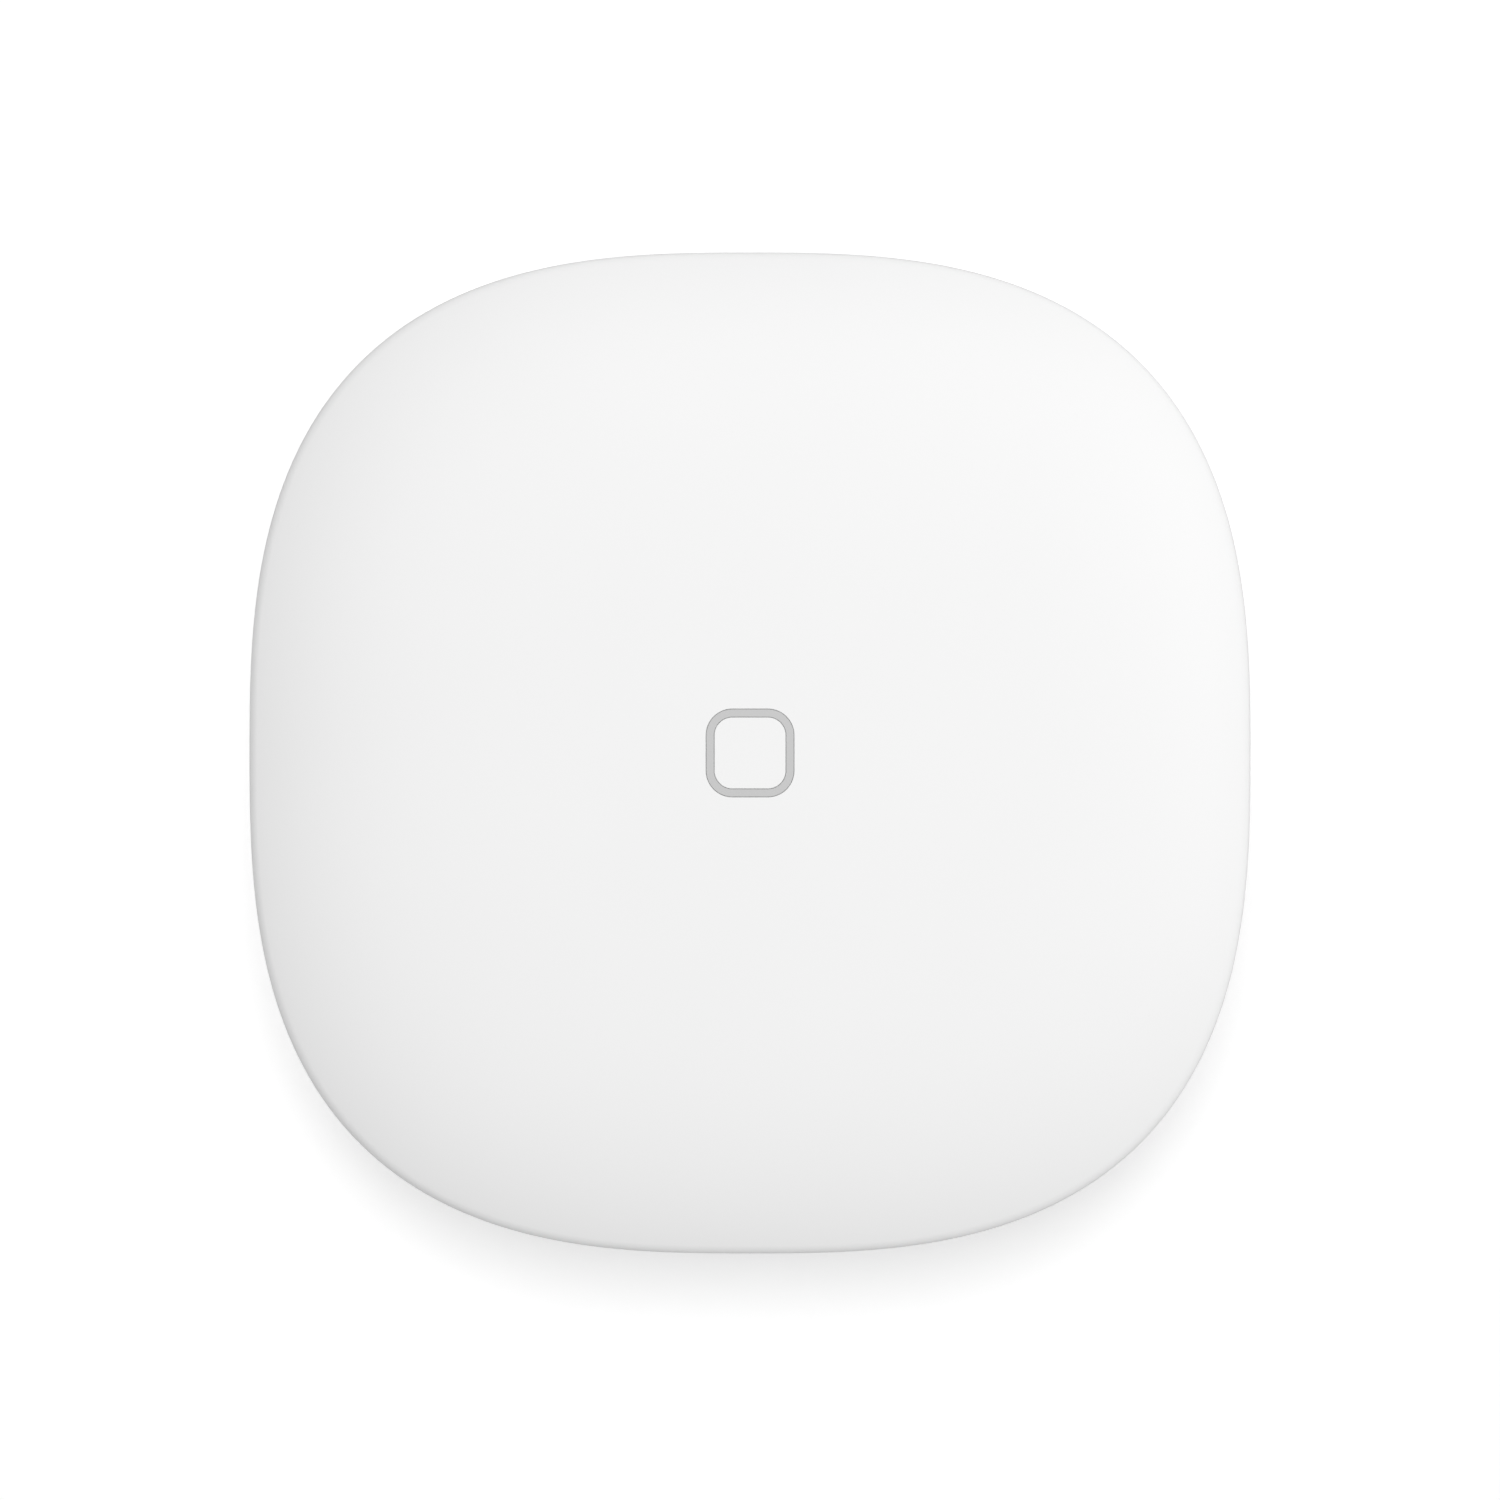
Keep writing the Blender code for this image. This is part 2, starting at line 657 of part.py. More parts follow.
def panel_stops():
    """Two ribs behind the port panel, rooted in the curve of the wall."""
    back = PANEL_BACK - FIT
    front = back - STOP_DEPTH
    for side in (-1, 1):
        middle = side * (PANEL_WIDTH / 2 - STOP_WIDTH)
        root = inner_height_at(plan_half(middle, front)) - EMBED
        yield box(centred(middle, STOP_WIDTH), (front, back), (root, STOP_TOP))


def vent_cutters():
    """A ring of radial slots through the floor, each drawn along X and turned to its place."""
    half_length, half_width = VENT_LENGTH / 2, VENT_WIDTH / 2
    ends = (VENT_RADIUS - half_length, VENT_RADIUS + half_length)
    outline = rounded_outline(*ends, -half_width, half_width, half_width * SLOT_END, 2)
    slot = plate([outline], BELOW, FLOOR + WALL)
    bm = bmesh.new()
    for i in range(VENTS):
        angle = math.tau * (i + 0.5) / VENTS
        x, y = VENT_RADIUS * math.cos(angle), VENT_RADIUS * math.sin(angle)
        from_foot = min(math.hypot(x - a, y - b) for a, b in four_corners())
        from_boss = min(math.hypot(x - a, y - b) for a, b in board_screws().values())
        if from_foot > FOOT_RADIUS + half_length + WALL and from_boss > SMALL_BOSS_RADIUS + half_length + FIT:
            turned_slot = slot.copy()
            turned_slot.transform(Matrix.Rotation(angle, 4, "Z"))
            bm.from_mesh(turned_slot)
    mesh = bpy.data.meshes.new("vents")
    bm.to_mesh(mesh)
    bm.free()
    return mesh


def cover_profile():
    """Dome from the crown out, round the edge, and back under it to the axis."""
    spread = [(i / DOME_POINTS) ** DOME_SPREAD for i in range(DOME_POINTS + 1)]
    profile = [(DOME_HALF * share, dome(DOME_HALF * share)) for share in spread]
    for i in range(1, EDGE_POINTS + 1):
        a = EDGE_TURN * (1 - i / EDGE_POINTS)
        profile.append((HALF - EDGE_RADIUS * (1 - math.cos(a)), EDGE_BASE + EDGE_RADIUS * math.sin(a)))
    profile += [(HALF, COVER_BOTTOM), (REBATE_HALF, COVER_BOTTOM), (REBATE_HALF, REBATE_TOP)]
    profile.append((UNDER_HALF, REBATE_TOP))
    profile += [(UNDER_HALF * share, dome(UNDER_HALF * share) - WALL) for share in reversed(spread)]
    return profile


def make_top_cover(finish):
    cover = as_part("top_cover", turned(cover_profile(), PLAN_STEPS, to_squircle), finish)
    boss_top = dome(plan_half(CASE_SCREW_AT, CASE_SCREW_AT)) - WALL / 2
    boss_bottom = PILLAR_TOP + FIT
    join(cover, *[cylinder(COVER_BOSS_RADIUS, boss_bottom, boss_top, x, y) for x, y in four_corners()])
    hole_top = CASE_SEAT + CASE_SCREW_LENGTH
    hole = CASE_SCREW_RADIUS + FIT
    cut(cover, *[cylinder(hole, boss_bottom - WALL, hole_top, x, y) for x, y in four_corners()])
    # collar round the light guide's flange, and a boss at each end for its retainer
    top = COVER_UNDER + EMBED
    collar = [
        (COLLAR_OUTER, top),
        (COLLAR_OUTER, FLANGE_BOTTOM),
        (COLLAR_INNER, FLANGE_BOTTOM),
        (COLLAR_INNER, top),
    ]
    combine(cover, turned(collar, SQUARE_STEPS, to_rounded_square), "UNION")
    ends = (-RETAINER_SCREW_X, RETAINER_SCREW_X)
    join(cover, *[cylinder(SMALL_BOSS_RADIUS, FLANGE_BOTTOM, top, x) for x in ends])
    cut(cover, *[cylinder(SMALL_HOLE, RETAINER_BOTTOM, RETAINER_HOLE_TOP, x) for x in ends])
    well = plate([rounded_square_outline(WELL_HALF)], FLANGE_TOP, HEIGHT + WALL)
    combine(cover, well, "DIFFERENCE")


def make_feet(finish):
    top = FOOT_STAND + FOOT_POCKET - FIT
    for x, y in four_corners():
        name = f"foot_{'rear' if y > 0 else 'front'}_{'right' if x > 0 else 'left'}"
        foot = as_part(name, mesh_of(cylinder(FOOT_RADIUS, 0, top, x, y)), finish, (x, y, 0))
        soften(foot, FOOT_ROUND)


def make_base_label(finish):
    top = FOOT_STAND + LABEL_POCKET - FIT / 2
    as_part("base_label", mesh_of(cylinder(LABEL_RADIUS, top - LABEL_THICK, top, steps=PLAN_STEPS)), finish)


# ---------------------------------------------------------------- fasteners


def make_screw(name, finish, shank, head, thick, length, seat, up):
    """A pan-head screw with a cross recess, its head on seat (x, y, z).

    Its shank points up (1) or down (-1).
    """
    profile = [
        (0, length),
        (shank, length - shank / 2),
        (shank, 0),
        (head, 0),
        (head, -thick * HEAD_SIDE),
        (head * HEAD_CROWN, -thick),
        (0, -thick),
    ]
    mesh = turned(profile, SMALL_STEPS)
    if up < 0:
        mesh.transform(Matrix.Rotation(math.pi, 4, "X"))
    mesh.transform(Matrix.Translation(seat))
    screw = as_part(name, mesh, finish, seat)
    x, y, z = seat
    recess = centred(z - up * thick, thick)
    arm, groove = head, head / 4
    cut(screw, box(centred(x, arm), centred(y, groove), recess))
    cut(screw, box(centred(x, groove), centred(y, arm), recess))


def make_screws(finish):
    case = (CASE_SCREW_RADIUS, CASE_HEAD_RADIUS, CASE_HEAD_THICK, CASE_SCREW_LENGTH)
    for number, (x, y) in enumerate(four_corners(), 1):
        make_screw(f"case_screw_{number}", finish, *case, (x, y, CASE_SEAT - FIT), 1)
    small = (SMALL_SCREW_RADIUS, SMALL_HEAD_RADIUS, SMALL_HEAD_THICK)
    seat = BOARD_TOP + FIT
    for place, (x, y) in board_screws().items():
        make_screw(f"board_screw_{place}", finish, *small, seat - SMALL_HOLE_BOTTOM - FIT, (x, y, seat), -1)
    seat = RETAINER_BOTTOM - FIT
    for place, x in (("left", -RETAINER_SCREW_X), ("right", RETAINER_SCREW_X)):
        make_screw(f"retainer_screw_{place}", finish, *small, RETAINER_HOLE_TOP - FIT - seat, (x, 0, seat), 1)


# ---------------------------------------------------------------- push pad and light ring


def make_light_guide(finish):
    """Square tube that carries light from the board's LEDs to the ring in the cover."""
    profile = [
        (RING_INNER, HEIGHT),
        (RING_HALF, HEIGHT),
        (RING_HALF, FLANGE_TOP),
        (FLANGE_HALF, FLANGE_TOP),
        (FLANGE_HALF, FLANGE_BOTTOM),
        (RING_HALF, FLANGE_BOTTOM),
        (RING_HALF, GUIDE_BOTTOM),
        (RING_INNER, GUIDE_BOTTOM),
        (RING_INNER, RIB_BOTTOM),
        (RIB_INNER, RIB_BOTTOM),
        (RIB_INNER, RIB_TOP),
        (RING_INNER, RIB_TOP),
    ]
    as_part("light_guide", turned(profile, SQUARE_STEPS, to_rounded_square), finish)


def make_light_shroud(finish):
    top, bottom = RETAINER_BOTTOM - FIT, PART_SEAT
    profile = [(SHROUD_INNER, top), (SHROUD_OUTER, top), (SHROUD_OUTER, bottom), (SHROUD_INNER, bottom)]
    as_part("light_shroud", turned(profile, SQUARE_STEPS, to_rounded_square), finish)


def make_guide_retainer(finish):
    reach = RETAINER_SCREW_X + SMALL_BOSS_RADIUS
    outline = rounded_outline(-reach, reach, -COLLAR_OUTER, COLLAR_OUTER, SMALL_BOSS_RADIUS)
    holes = [circle_outline(SMALL_HOLE, x) for x in (-RETAINER_SCREW_X, RETAINER_SCREW_X)]
    outlines = [outline, rounded_square_outline(RING_HALF + FIT), *holes]
    as_part("guide_retainer", plate(outlines, RETAINER_BOTTOM, RETAINER_TOP), finish)


def make_push_pad(finish):
    """The white pad inside the ring, with hooked fins and a stem that reaches the switch."""
    under = HEIGHT - PAD_THICK
    edge = [(PAD_HALF - PAD_EDGE, HEIGHT), (PAD_HALF, HEIGHT - PAD_EDGE)]
    profile = [(0, HEIGHT), *edge, (PAD_HALF, under), (0, under)]
    pad = as_part("push_pad", turned(profile, SQUARE_STEPS, to_rounded_square), finish)
    overlap = under + PAD_THICK / 2
    thick = centred(0, FIN_THICK)
    for reach, top in ((RIB_INNER - FIT, overlap), (PAD_HALF - FIT, HOOK_TOP)):
        wide = centred(0, 2 * reach)
        join(pad, box(wide, thick, (FIN_BOTTOM, top)))
        join(pad, box(thick, wide, (FIN_BOTTOM, top)))
    join(pad, cylinder(PLUNGER_RADIUS, STEM_BOTTOM, overlap - PAD_EDGE))


def make_button_spring(finish):
    """Coil spring round the stem, between the switch and the fins."""
    per_turn = SMALL_STEPS
    steps = SPRING_TURNS * per_turn
    rise = (SPRING_LENGTH - 2 * SPRING_WIRE) / steps
    points = []
    for i in range(steps + 1):
        angle = math.tau * i / per_turn
        height = SPRING_BOTTOM + SPRING_WIRE + rise * i
        points.append((SPRING_RADIUS * math.cos(angle), SPRING_RADIUS * math.sin(angle), height))
    as_part("button_spring", wire(points, SPRING_WIRE), finish)


def make_button_switch(body_finish, plunger_finish):
    side = centred(0, SWITCH_SIDE)
    body = as_part("button_switch", mesh_of(box(side, side, (PART_SEAT, SWITCH_TOP))), body_finish)
    soften(body, SWITCH_ROUND, 1)
    well_bottom = PLUNGER_BOTTOM - PAD_TRAVEL - FIT
    cut(body, cylinder(PLUNGER_RADIUS + FIT, well_bottom, SWITCH_TOP + WALL))
    as_part("button_plunger", mesh_of(cylinder(PLUNGER_RADIUS, PLUNGER_BOTTOM, PLUNGER_TOP)), plunger_finish)


def make_status_leds(finish):
    """Four LEDs, one under the middle of each side of the light guide."""
    middle = RING_HALF - RING_LINE / 2
    places = {"left": (-middle, 0), "right": (middle, 0), "front": (0, -middle), "rear": (0, middle)}
    for name, (x, y) in places.items():
        across, along = (LED_WIDTH, LED_LENGTH) if y == 0 else (LED_LENGTH, LED_WIDTH)
        shape = box(centred(x, across), centred(y, along), (PART_SEAT, LED_TOP))
        as_part(f"status_led_{name}", mesh_of(shape), finish, (x, y, PART_SEAT))


# ---------------------------------------------------------------- ports


def panel_outline(grow=0.0):
    """Outline of the port panel in X and Z."""
    half = PANEL_WIDTH / 2 + grow
    return rounded_outline(-half, half, PANEL_BOTTOM - grow, PANEL_TOP + grow, PANEL_CORNER + grow)


def ethernet_sides(grow=0.0):
    return centred(ETHERNET_X, ETHERNET_WIDTH + 2 * grow), (PART_SEAT - grow, ETHERNET_TOP + grow)


def power_sides(grow=0.0):
    return centred(POWER_X, POWER_WIDTH + 2 * grow), (PART_SEAT - grow, PART_SEAT + POWER_HEIGHT + grow)


def make_port_panel(finish):
    """A tub let into the rear wall: its mouth follows the case, its floor carries the ports."""
    panel = as_part("port_panel", upright_plate([panel_outline()], PANEL_BACK, HALF + WALL), finish)
    envelope = [(0, SPLIT), (HALF, SPLIT)] + outer_case_profile()
    combine(panel, turned(envelope, PLAN_STEPS, to_squircle), "INTERSECT")
    clip_half = PANEL_WIDTH / 2 + FIT + CLIP_REACH
    clip_root = PANEL_WIDTH / 2 - PANEL_WALL / 2
    clip_front = reach_at(inner_half_at(CLIP_LOW), clip_half) - CLIP_GAP
    clip_depth = (clip_front - CLIP_THICK, clip_front)
    for ends in ((-clip_half, -clip_root), (clip_root, clip_half)):
        join(panel, box(ends, clip_depth, (CLIP_LOW, CLIP_HIGH)))
    bay_half = PANEL_WIDTH / 2 - PANEL_WALL
    bay_top = PANEL_TOP - PANEL_WALL / 2
    bay = rounded_outline(-bay_half, bay_half, PANEL_BOTTOM + PANEL_WALL, bay_top, PANEL_CORNER / 2)
    combine(panel, upright_plate([bay], PANEL_FACE, HALF + 2 * WALL), "DIFFERENCE")
    through = (PANEL_BACK - WALL, PANEL_FACE + FIT)
    for sides in (ethernet_sides(SLIDE_FIT), power_sides(SLIDE_FIT)):
        cut(panel, box(sides[0], through, sides[1]))
    cut(panel, rod(RESET_RADIUS + SLIDE_FIT, *through, RESET_X, RESET_Z))


def make_ethernet_jack(finishes):
    """Steel shield with a moulded body inside it. A plug goes into the body's mouth."""
    x, z = ethernet_sides()
    back = JACK_FACE - ETHERNET_DEPTH
    shield = as_part("ethernet_shield", mesh_of(box(x, (back, JACK_FACE), z)), finishes["shield"])
    inside = [(low + ETHERNET_WALL, high - ETHERNET_WALL) for low, high in (x, z)]
    cut(shield, box(inside[0], (back + ETHERNET_WALL, JACK_FACE + WALL), inside[1]))
    body_x, body_z = [(low + FIT / 2, high - FIT / 2) for low, high in inside]
    face = JACK_FACE - FIT
    body_shape = box(body_x, (back + ETHERNET_WALL + FIT, face), body_z)
    body = as_part("ethernet_body", mesh_of(body_shape), finishes["black"])
    mouth_top = body_z[1] - ETHERNET_WALL
    mouth_low = mouth_top - MOUTH_HEIGHT
    deep = (face - MOUTH_DEPTH, face + WALL)
    cut(body, box(centred(ETHERNET_X, MOUTH_WIDTH), deep, (mouth_low, mouth_top)))
    latch_z = (mouth_low - LATCH_HEIGHT, mouth_low + ETHERNET_WALL)
    cut(body, box(centred(ETHERNET_X, LATCH_WIDTH), deep, latch_z))
    for side, place, finish in ((-1, "left", "green_light"), (1, "right", "amber_light")):
        middle = side * (LATCH_WIDTH / 2 + ETHERNET_WALL + FIT + LINK_LIGHT_WIDTH / 2) + ETHERNET_X
        low = body_z[0] + ETHERNET_WALL
        high = low + LINK_LIGHT_HEIGHT
        back = face - LINK_LIGHT_LENGTH
        pocket_z = (low - FIT / 2, high + FIT / 2)
        cut(body, box(centred(middle, LINK_LIGHT_WIDTH + FIT), (back - FIT, face + WALL), pocket_z))
        shape = box(centred(middle, LINK_LIGHT_WIDTH), (back, face), (low, high))
        as_part(f"link_light_{place}", mesh_of(shape), finishes[finish], (middle, face, low))
    make_contacts(finishes["gold"], deep[0] + FIT, mouth_top - FIT)


def make_contacts(finish, back, top):
    """Contact comb at the back of the mouth: a bar with a row of sprung fingers."""
    bar_front = back + COMB_DEPTH
    low = top - COMB_HEIGHT
    bar = box(centred(ETHERNET_X, CONTACT_PITCH * CONTACTS), (back, bar_front), (low, top))
    comb = as_part("ethernet_contacts", mesh_of(bar), finish)
    finger_low = low + CONTACT_THICK / 2
    fingers = []
    for i in range(CONTACTS):
        middle = ETHERNET_X + CONTACT_PITCH * (i - (CONTACTS - 1) / 2)
        reach = (bar_front - CONTACT_THICK, bar_front + CONTACT_LENGTH)
        fingers.append(box(centred(middle, CONTACT_WIDTH), reach, (finger_low, finger_low + CONTACT_THICK)))
    join(comb, *fingers)


def make_power_jack(finishes):
    """Barrel inlet: a moulded body with a round bore, and a centre pin in it."""
    x, z = power_sides()
    back = JACK_FACE - POWER_DEPTH
    body = as_part("power_jack", mesh_of(box(x, (back, JACK_FACE), z)), finishes["black"])
    soften(body, POWER_ROUND, 1)
    middle = (z[0] + z[1]) / 2
    bore_end = JACK_FACE - POWER_BORE_DEPTH
    cut(body, rod(POWER_BORE_RADIUS, bore_end, JACK_FACE + WALL, POWER_X, middle))
    cut(body, rod(POWER_PIN_RADIUS + FIT, back - WALL, bore_end + FIT, POWER_X, middle, SMALL_STEPS))
    pin = rod(POWER_PIN_RADIUS, back + FIT, JACK_FACE - POWER_PIN_SINK, POWER_X, middle, SMALL_STEPS)
    as_part("power_pin", mesh_of(pin), finishes["shield"], (POWER_X, back, middle))


def make_reset(finishes):
    """Small button sunk in the panel, with its side-facing switch behind it on the board."""
    axis = (RESET_X, PANEL_FACE, RESET_Z)
    flange = (PANEL_BACK - FIT - RESET_FLANGE_THICK, PANEL_BACK - FIT)
    stem = rod(RESET_RADIUS, flange[0] + FIT, RESET_FACE, RESET_X, RESET_Z)
    button = as_part("reset_button", mesh_of(stem), finishes["panel"], axis)
    join(button, rod(RESET_RADIUS + RESET_FLANGE, *flange, RESET_X, RESET_Z))
    front = flange[0] - SLIDE_FIT
    back = front - RESET_PLUNGER_LENGTH
    plunger = rod(RESET_PLUNGER_RADIUS, back, front, RESET_X, RESET_Z, SMALL_STEPS)
    as_part("reset_plunger", mesh_of(plunger), finishes["chip"], axis)
    body_front = front - RESET_TRAVEL - FIT
    top = RESET_Z + RESET_PLUNGER_RADIUS + RESET_SWITCH_WALL
    depth = (body_front - RESET_SWITCH_DEPTH, body_front)
    shape = box(centred(RESET_X, RESET_SWITCH_WIDTH), depth, (PART_SEAT, top))
    body = as_part("reset_switch", mesh_of(shape), finishes["black"])
    well = (back - RESET_TRAVEL - FIT, body_front + WALL)
    cut(body, rod(RESET_PLUNGER_RADIUS + FIT, *well, RESET_X, RESET_Z, SMALL_STEPS))


# ---------------------------------------------------------------- main board and what it carries


def make_main_board(finish):
    outlines = [squircle_outline(board_half(), PLAN_STEPS)]
    outlines += [circle_outline(PILLAR_RADIUS + 2 * FIT, x, y) for x, y in four_corners()]
    outlines += [circle_outline(SMALL_HOLE, x, y, SMALL_STEPS) for x, y in board_screws().values()]
    as_part("main_board", plate(outlines, BOARD_BOTTOM, BOARD_TOP), finish)


def make_on_board(name, finish, x, y, size, edge):
    """A block that is soldered to the board, its middle at x and y."""
    shape = box(centred(x, size[0]), centred(y, size[1]), (PART_SEAT, PART_SEAT + size[2]))
    piece = as_part(name, mesh_of(shape), finish, (x, y, PART_SEAT))
    soften(piece, edge, 1)
    return piece


def make_can(name, finish, x, y, size):
    """A drawn steel shield: a box with no floor."""
    can = make_on_board(name, finish, x, y, size, CAN_ROUND)
    wide, deep = size[0] - 2 * CAN_WALL, size[1] - 2 * CAN_WALL
    lid = PART_SEAT + size[2] - CAN_WALL
    cut(can, box(centred(x, wide), centred(y, deep), (BOARD_BOTTOM, lid)))


def make_processor_group(finishes):
    """Processor and memory under one shield, with a thermal pad and an aluminium spreader above it."""
    x = -(SHROUD_OUTER + PART_GAP + PROCESSOR_CAN / 2)
    can_size = (PROCESSOR_CAN, PROCESSOR_CAN, PROCESSOR_CAN_HEIGHT)
    make_can("processor_shield", finishes["shield"], x, PROCESSOR_Y, can_size)
    from_wall = PROCESSOR_CAN / 2 - CAN_WALL - CHIP_MARGIN
    chip_y = PROCESSOR_Y + from_wall - PROCESSOR_SIDE / 2
    chip_size = (PROCESSOR_SIDE, PROCESSOR_SIDE, PROCESSOR_THICK)
    make_on_board("processor", finishes["chip"], x, chip_y, chip_size, CHIP_ROUND)
    memory_y = PROCESSOR_Y - from_wall + MEMORY_DEPTH / 2
    memory_size = (MEMORY_WIDTH, MEMORY_DEPTH, MEMORY_THICK)
    make_on_board("memory_chip", finishes["chip"], x, memory_y, memory_size, CHIP_ROUND)
    pad_low = PART_SEAT + PROCESSOR_CAN_HEIGHT + FIT / 2
    pad_high = pad_low + THERMAL_THICK
    side = THERMAL_SIDE
    pad_shape = box(centred(x, side), centred(PROCESSOR_Y, side), (pad_low, pad_high))
    as_part("thermal_pad", mesh_of(pad_shape), finishes["thermal"])
    make_spreader(finishes, x, pad_high + FIT / 2)


def make_spreader(finishes, x, low):
    """A plate with its two long edges turned down, screwed to a post at each end of the shield."""
    post_at = PROCESSOR_CAN / 2 + FIT + POST_RADIUS
    wide, deep = PROCESSOR_CAN + 2 * SPREADER_THICK - FIT, 2 * (post_at + POST_RADIUS + FIT)
    top = low + SPREADER_THICK
    shape = box(centred(x, wide), centred(PROCESSOR_Y, deep), (low - SPREADER_FOLD, top))
    spreader = as_part("heat_spreader", mesh_of(shape), finishes["aluminium"])
    hollow = box(centred(x, wide - 2 * SPREADER_THICK), centred(PROCESSOR_Y, deep + WALL), (PART_SEAT, low))
    cut(spreader, hollow)
    for place, y in (("front", PROCESSOR_Y - post_at), ("rear", PROCESSOR_Y + post_at)):
        cut(spreader, cylinder(SMALL_HOLE, low - FIT, top + FIT, x, y, SMALL_STEPS))
        post_top = low - FIT
        thread_bottom = PART_SEAT + FIT
        post_shape = cylinder(POST_RADIUS, PART_SEAT, post_top, x, y, 6)
        origin = (x, y, PART_SEAT)
        post = as_part(f"spreader_post_{place}", mesh_of(post_shape), finishes["gold"], origin)
        cut(post, cylinder(SMALL_HOLE, thread_bottom, post_top + WALL, x, y, SMALL_STEPS))
        seat = top + FIT
        length = seat - thread_bottom - FIT
        small = (SMALL_SCREW_RADIUS, SMALL_HEAD_RADIUS, SMALL_HEAD_THICK, length)
        make_screw(f"spreader_screw_{place}", finishes["screw"], *small, (x, y, seat), -1)


def make_radios(finishes):
    """Two shielded radios on the right half of the board."""
    x = SHROUD_OUTER + PART_GAP + RADIO_WIDTH / 2
    offset = (RADIO_DEPTH + RADIO_SPACING) / 2
    for place, y in (("front", RADIO_Y - offset), ("rear", RADIO_Y + offset)):
        make_can(f"radio_shield_{place}", finishes["shield"], x, y, (RADIO_WIDTH, RADIO_DEPTH, RADIO_HEIGHT))


def make_power_parts(finishes):
    """Capacitor and inductor beside the power jack, and the transformer behind the Ethernet jack."""
    jack_back = JACK_FACE - POWER_DEPTH
    x = POWER_X - POWER_WIDTH / 2 - CAPACITOR_BASE_SIDE / 2 - PART_GAP
    base = (PART_SEAT, PART_SEAT + CAPACITOR_BASE_THICK)
    foot = box(centred(x, CAPACITOR_BASE_SIDE), centred(jack_back, CAPACITOR_BASE_SIDE), base)
    capacitor = as_part("capacitor", mesh_of(foot), finishes["shield"], (x, jack_back, PART_SEAT))
    join(capacitor, cylinder(CAPACITOR_RADIUS, base[1] - FIT, PART_SEAT + CAPACITOR_HEIGHT, x, jack_back))
    y = jack_back - INDUCTOR_SIDE / 2 - PART_GAP
    inductor_size = (INDUCTOR_SIDE, INDUCTOR_SIDE, INDUCTOR_HEIGHT)
    make_on_board("power_inductor", finishes["chip"], POWER_X, y, inductor_size, PART_ROUND)
    y = JACK_FACE - ETHERNET_DEPTH - TRANSFORMER_DEPTH / 2 - PART_GAP
    transformer_size = (TRANSFORMER_WIDTH, TRANSFORMER_DEPTH, TRANSFORMER_HEIGHT)
    make_on_board("ethernet_transformer", finishes["chip"], ETHERNET_X, y, transformer_size, PART_ROUND)


# ---------------------------------------------------------------- antennas


def antenna_bottom():
    return FLOOR + ANTENNA_LIFT


def antenna_x():
    """The right antenna's middle, clear of the wall at its lower corners."""
    wall = reach_at(inner_half_at(antenna_bottom()), ANTENNA_LENGTH / 2)
    return wall - ANTENNA_GAP - ANTENNA_THICK / 2


def antenna_posts():
    """Two posts for each antenna, rooted in the curve of the wall."""
    shelf = antenna_bottom() - FIT
    low = shelf - POST_SHELF
    inner = antenna_x() - ANTENNA_THICK / 2 - FIT - WALL / 2
    for y in (POST_WIDTH - ANTENNA_LENGTH / 2, ANTENNA_LENGTH / 2 - POST_WIDTH):
        outer = reach_at(inner_half_at(low), y) + EMBED
        outer = max(outer, antenna_x() + ANTENNA_THICK / 2 + FIT + WALL / 2)
        for ends in ((-outer, -inner), (inner, outer)):
            yield box(ends, centred(y, POST_WIDTH), (low, shelf + POST_GRIP))


def antenna_slots():
    shelf = antenna_bottom() - FIT
    slot_y = centred(0, ANTENNA_LENGTH + WALL)
    for x in (-antenna_x(), antenna_x()):
        yield box(centred(x, ANTENNA_THICK + 2 * FIT), slot_y, (shelf, shelf + 2 * POST_GRIP))


def make_antennas(finishes):
    low = antenna_bottom()
    for side, name in ((-1, "left"), (1, "right")):
        x = side * antenna_x()
        shape = box(centred(x, ANTENNA_THICK), centred(0, ANTENNA_LENGTH), (low, low + ANTENNA_HEIGHT))
        as_part(f"antenna_{name}", mesh_of(shape), finishes["antenna"], (x, 0, low))
        socket = (side * (board_half() - SOCKET_INSET), SOCKET_Y)
        socket_top = PART_SEAT + SOCKET_HEIGHT
        shape = cylinder(SOCKET_RADIUS, PART_SEAT, socket_top, *socket, SMALL_STEPS)
        as_part(f"antenna_socket_{name}", mesh_of(shape), finishes["gold"], (*socket, PART_SEAT))
        start = x - side * (ANTENNA_THICK / 2 + FIT)
        lay = socket_top + FIT + CABLE_RADIUS
        feed = low + CABLE_EXIT
        route = [(start - side * inward, y, feed - drop) for inward, y, drop in CABLE_LEAVES]
        route += [(start - side * inward, y, lay + rise) for inward, y, rise in CABLE_LANDS]
        route.append((socket[0], SOCKET_Y, lay))
        as_part(f"antenna_cable_{name}", wire(smooth_route(route, 3), CABLE_RADIUS), finishes["cable"])


# ---------------------------------------------------------------- the whole hub


def main():
    global PARTS, CUTTERS
    for obj in list(bpy.data.objects):
        bpy.data.objects.remove(obj)
    PARTS = bpy.data.collections.new("smart_home_hub")
    CUTTERS = bpy.data.collections.new("cutters")
    for collection in (PARTS, CUTTERS):
        bpy.context.scene.collection.children.link(collection)
    finishes = make_materials()
    make_bottom_case(finishes["shell"])
    make_top_cover(finishes["shell"])
    make_feet(finishes["rubber"])
    make_base_label(finishes["label"])
    make_screws(finishes["screw"])
    make_light_guide(finishes["guide"])
    make_light_shroud(finishes["black"])
    make_guide_retainer(finishes["black"])
    make_push_pad(finishes["pad"])
    make_button_spring(finishes["screw"])
    make_button_switch(finishes["black"], finishes["panel"])
    make_status_leds(finishes["led"])
    make_port_panel(finishes["panel"])
    make_ethernet_jack(finishes)
    make_power_jack(finishes)
    make_reset(finishes)
    make_main_board(finishes["board"])
    make_processor_group(finishes)
    make_radios(finishes)
    make_power_parts(finishes)
    make_antennas(finishes)


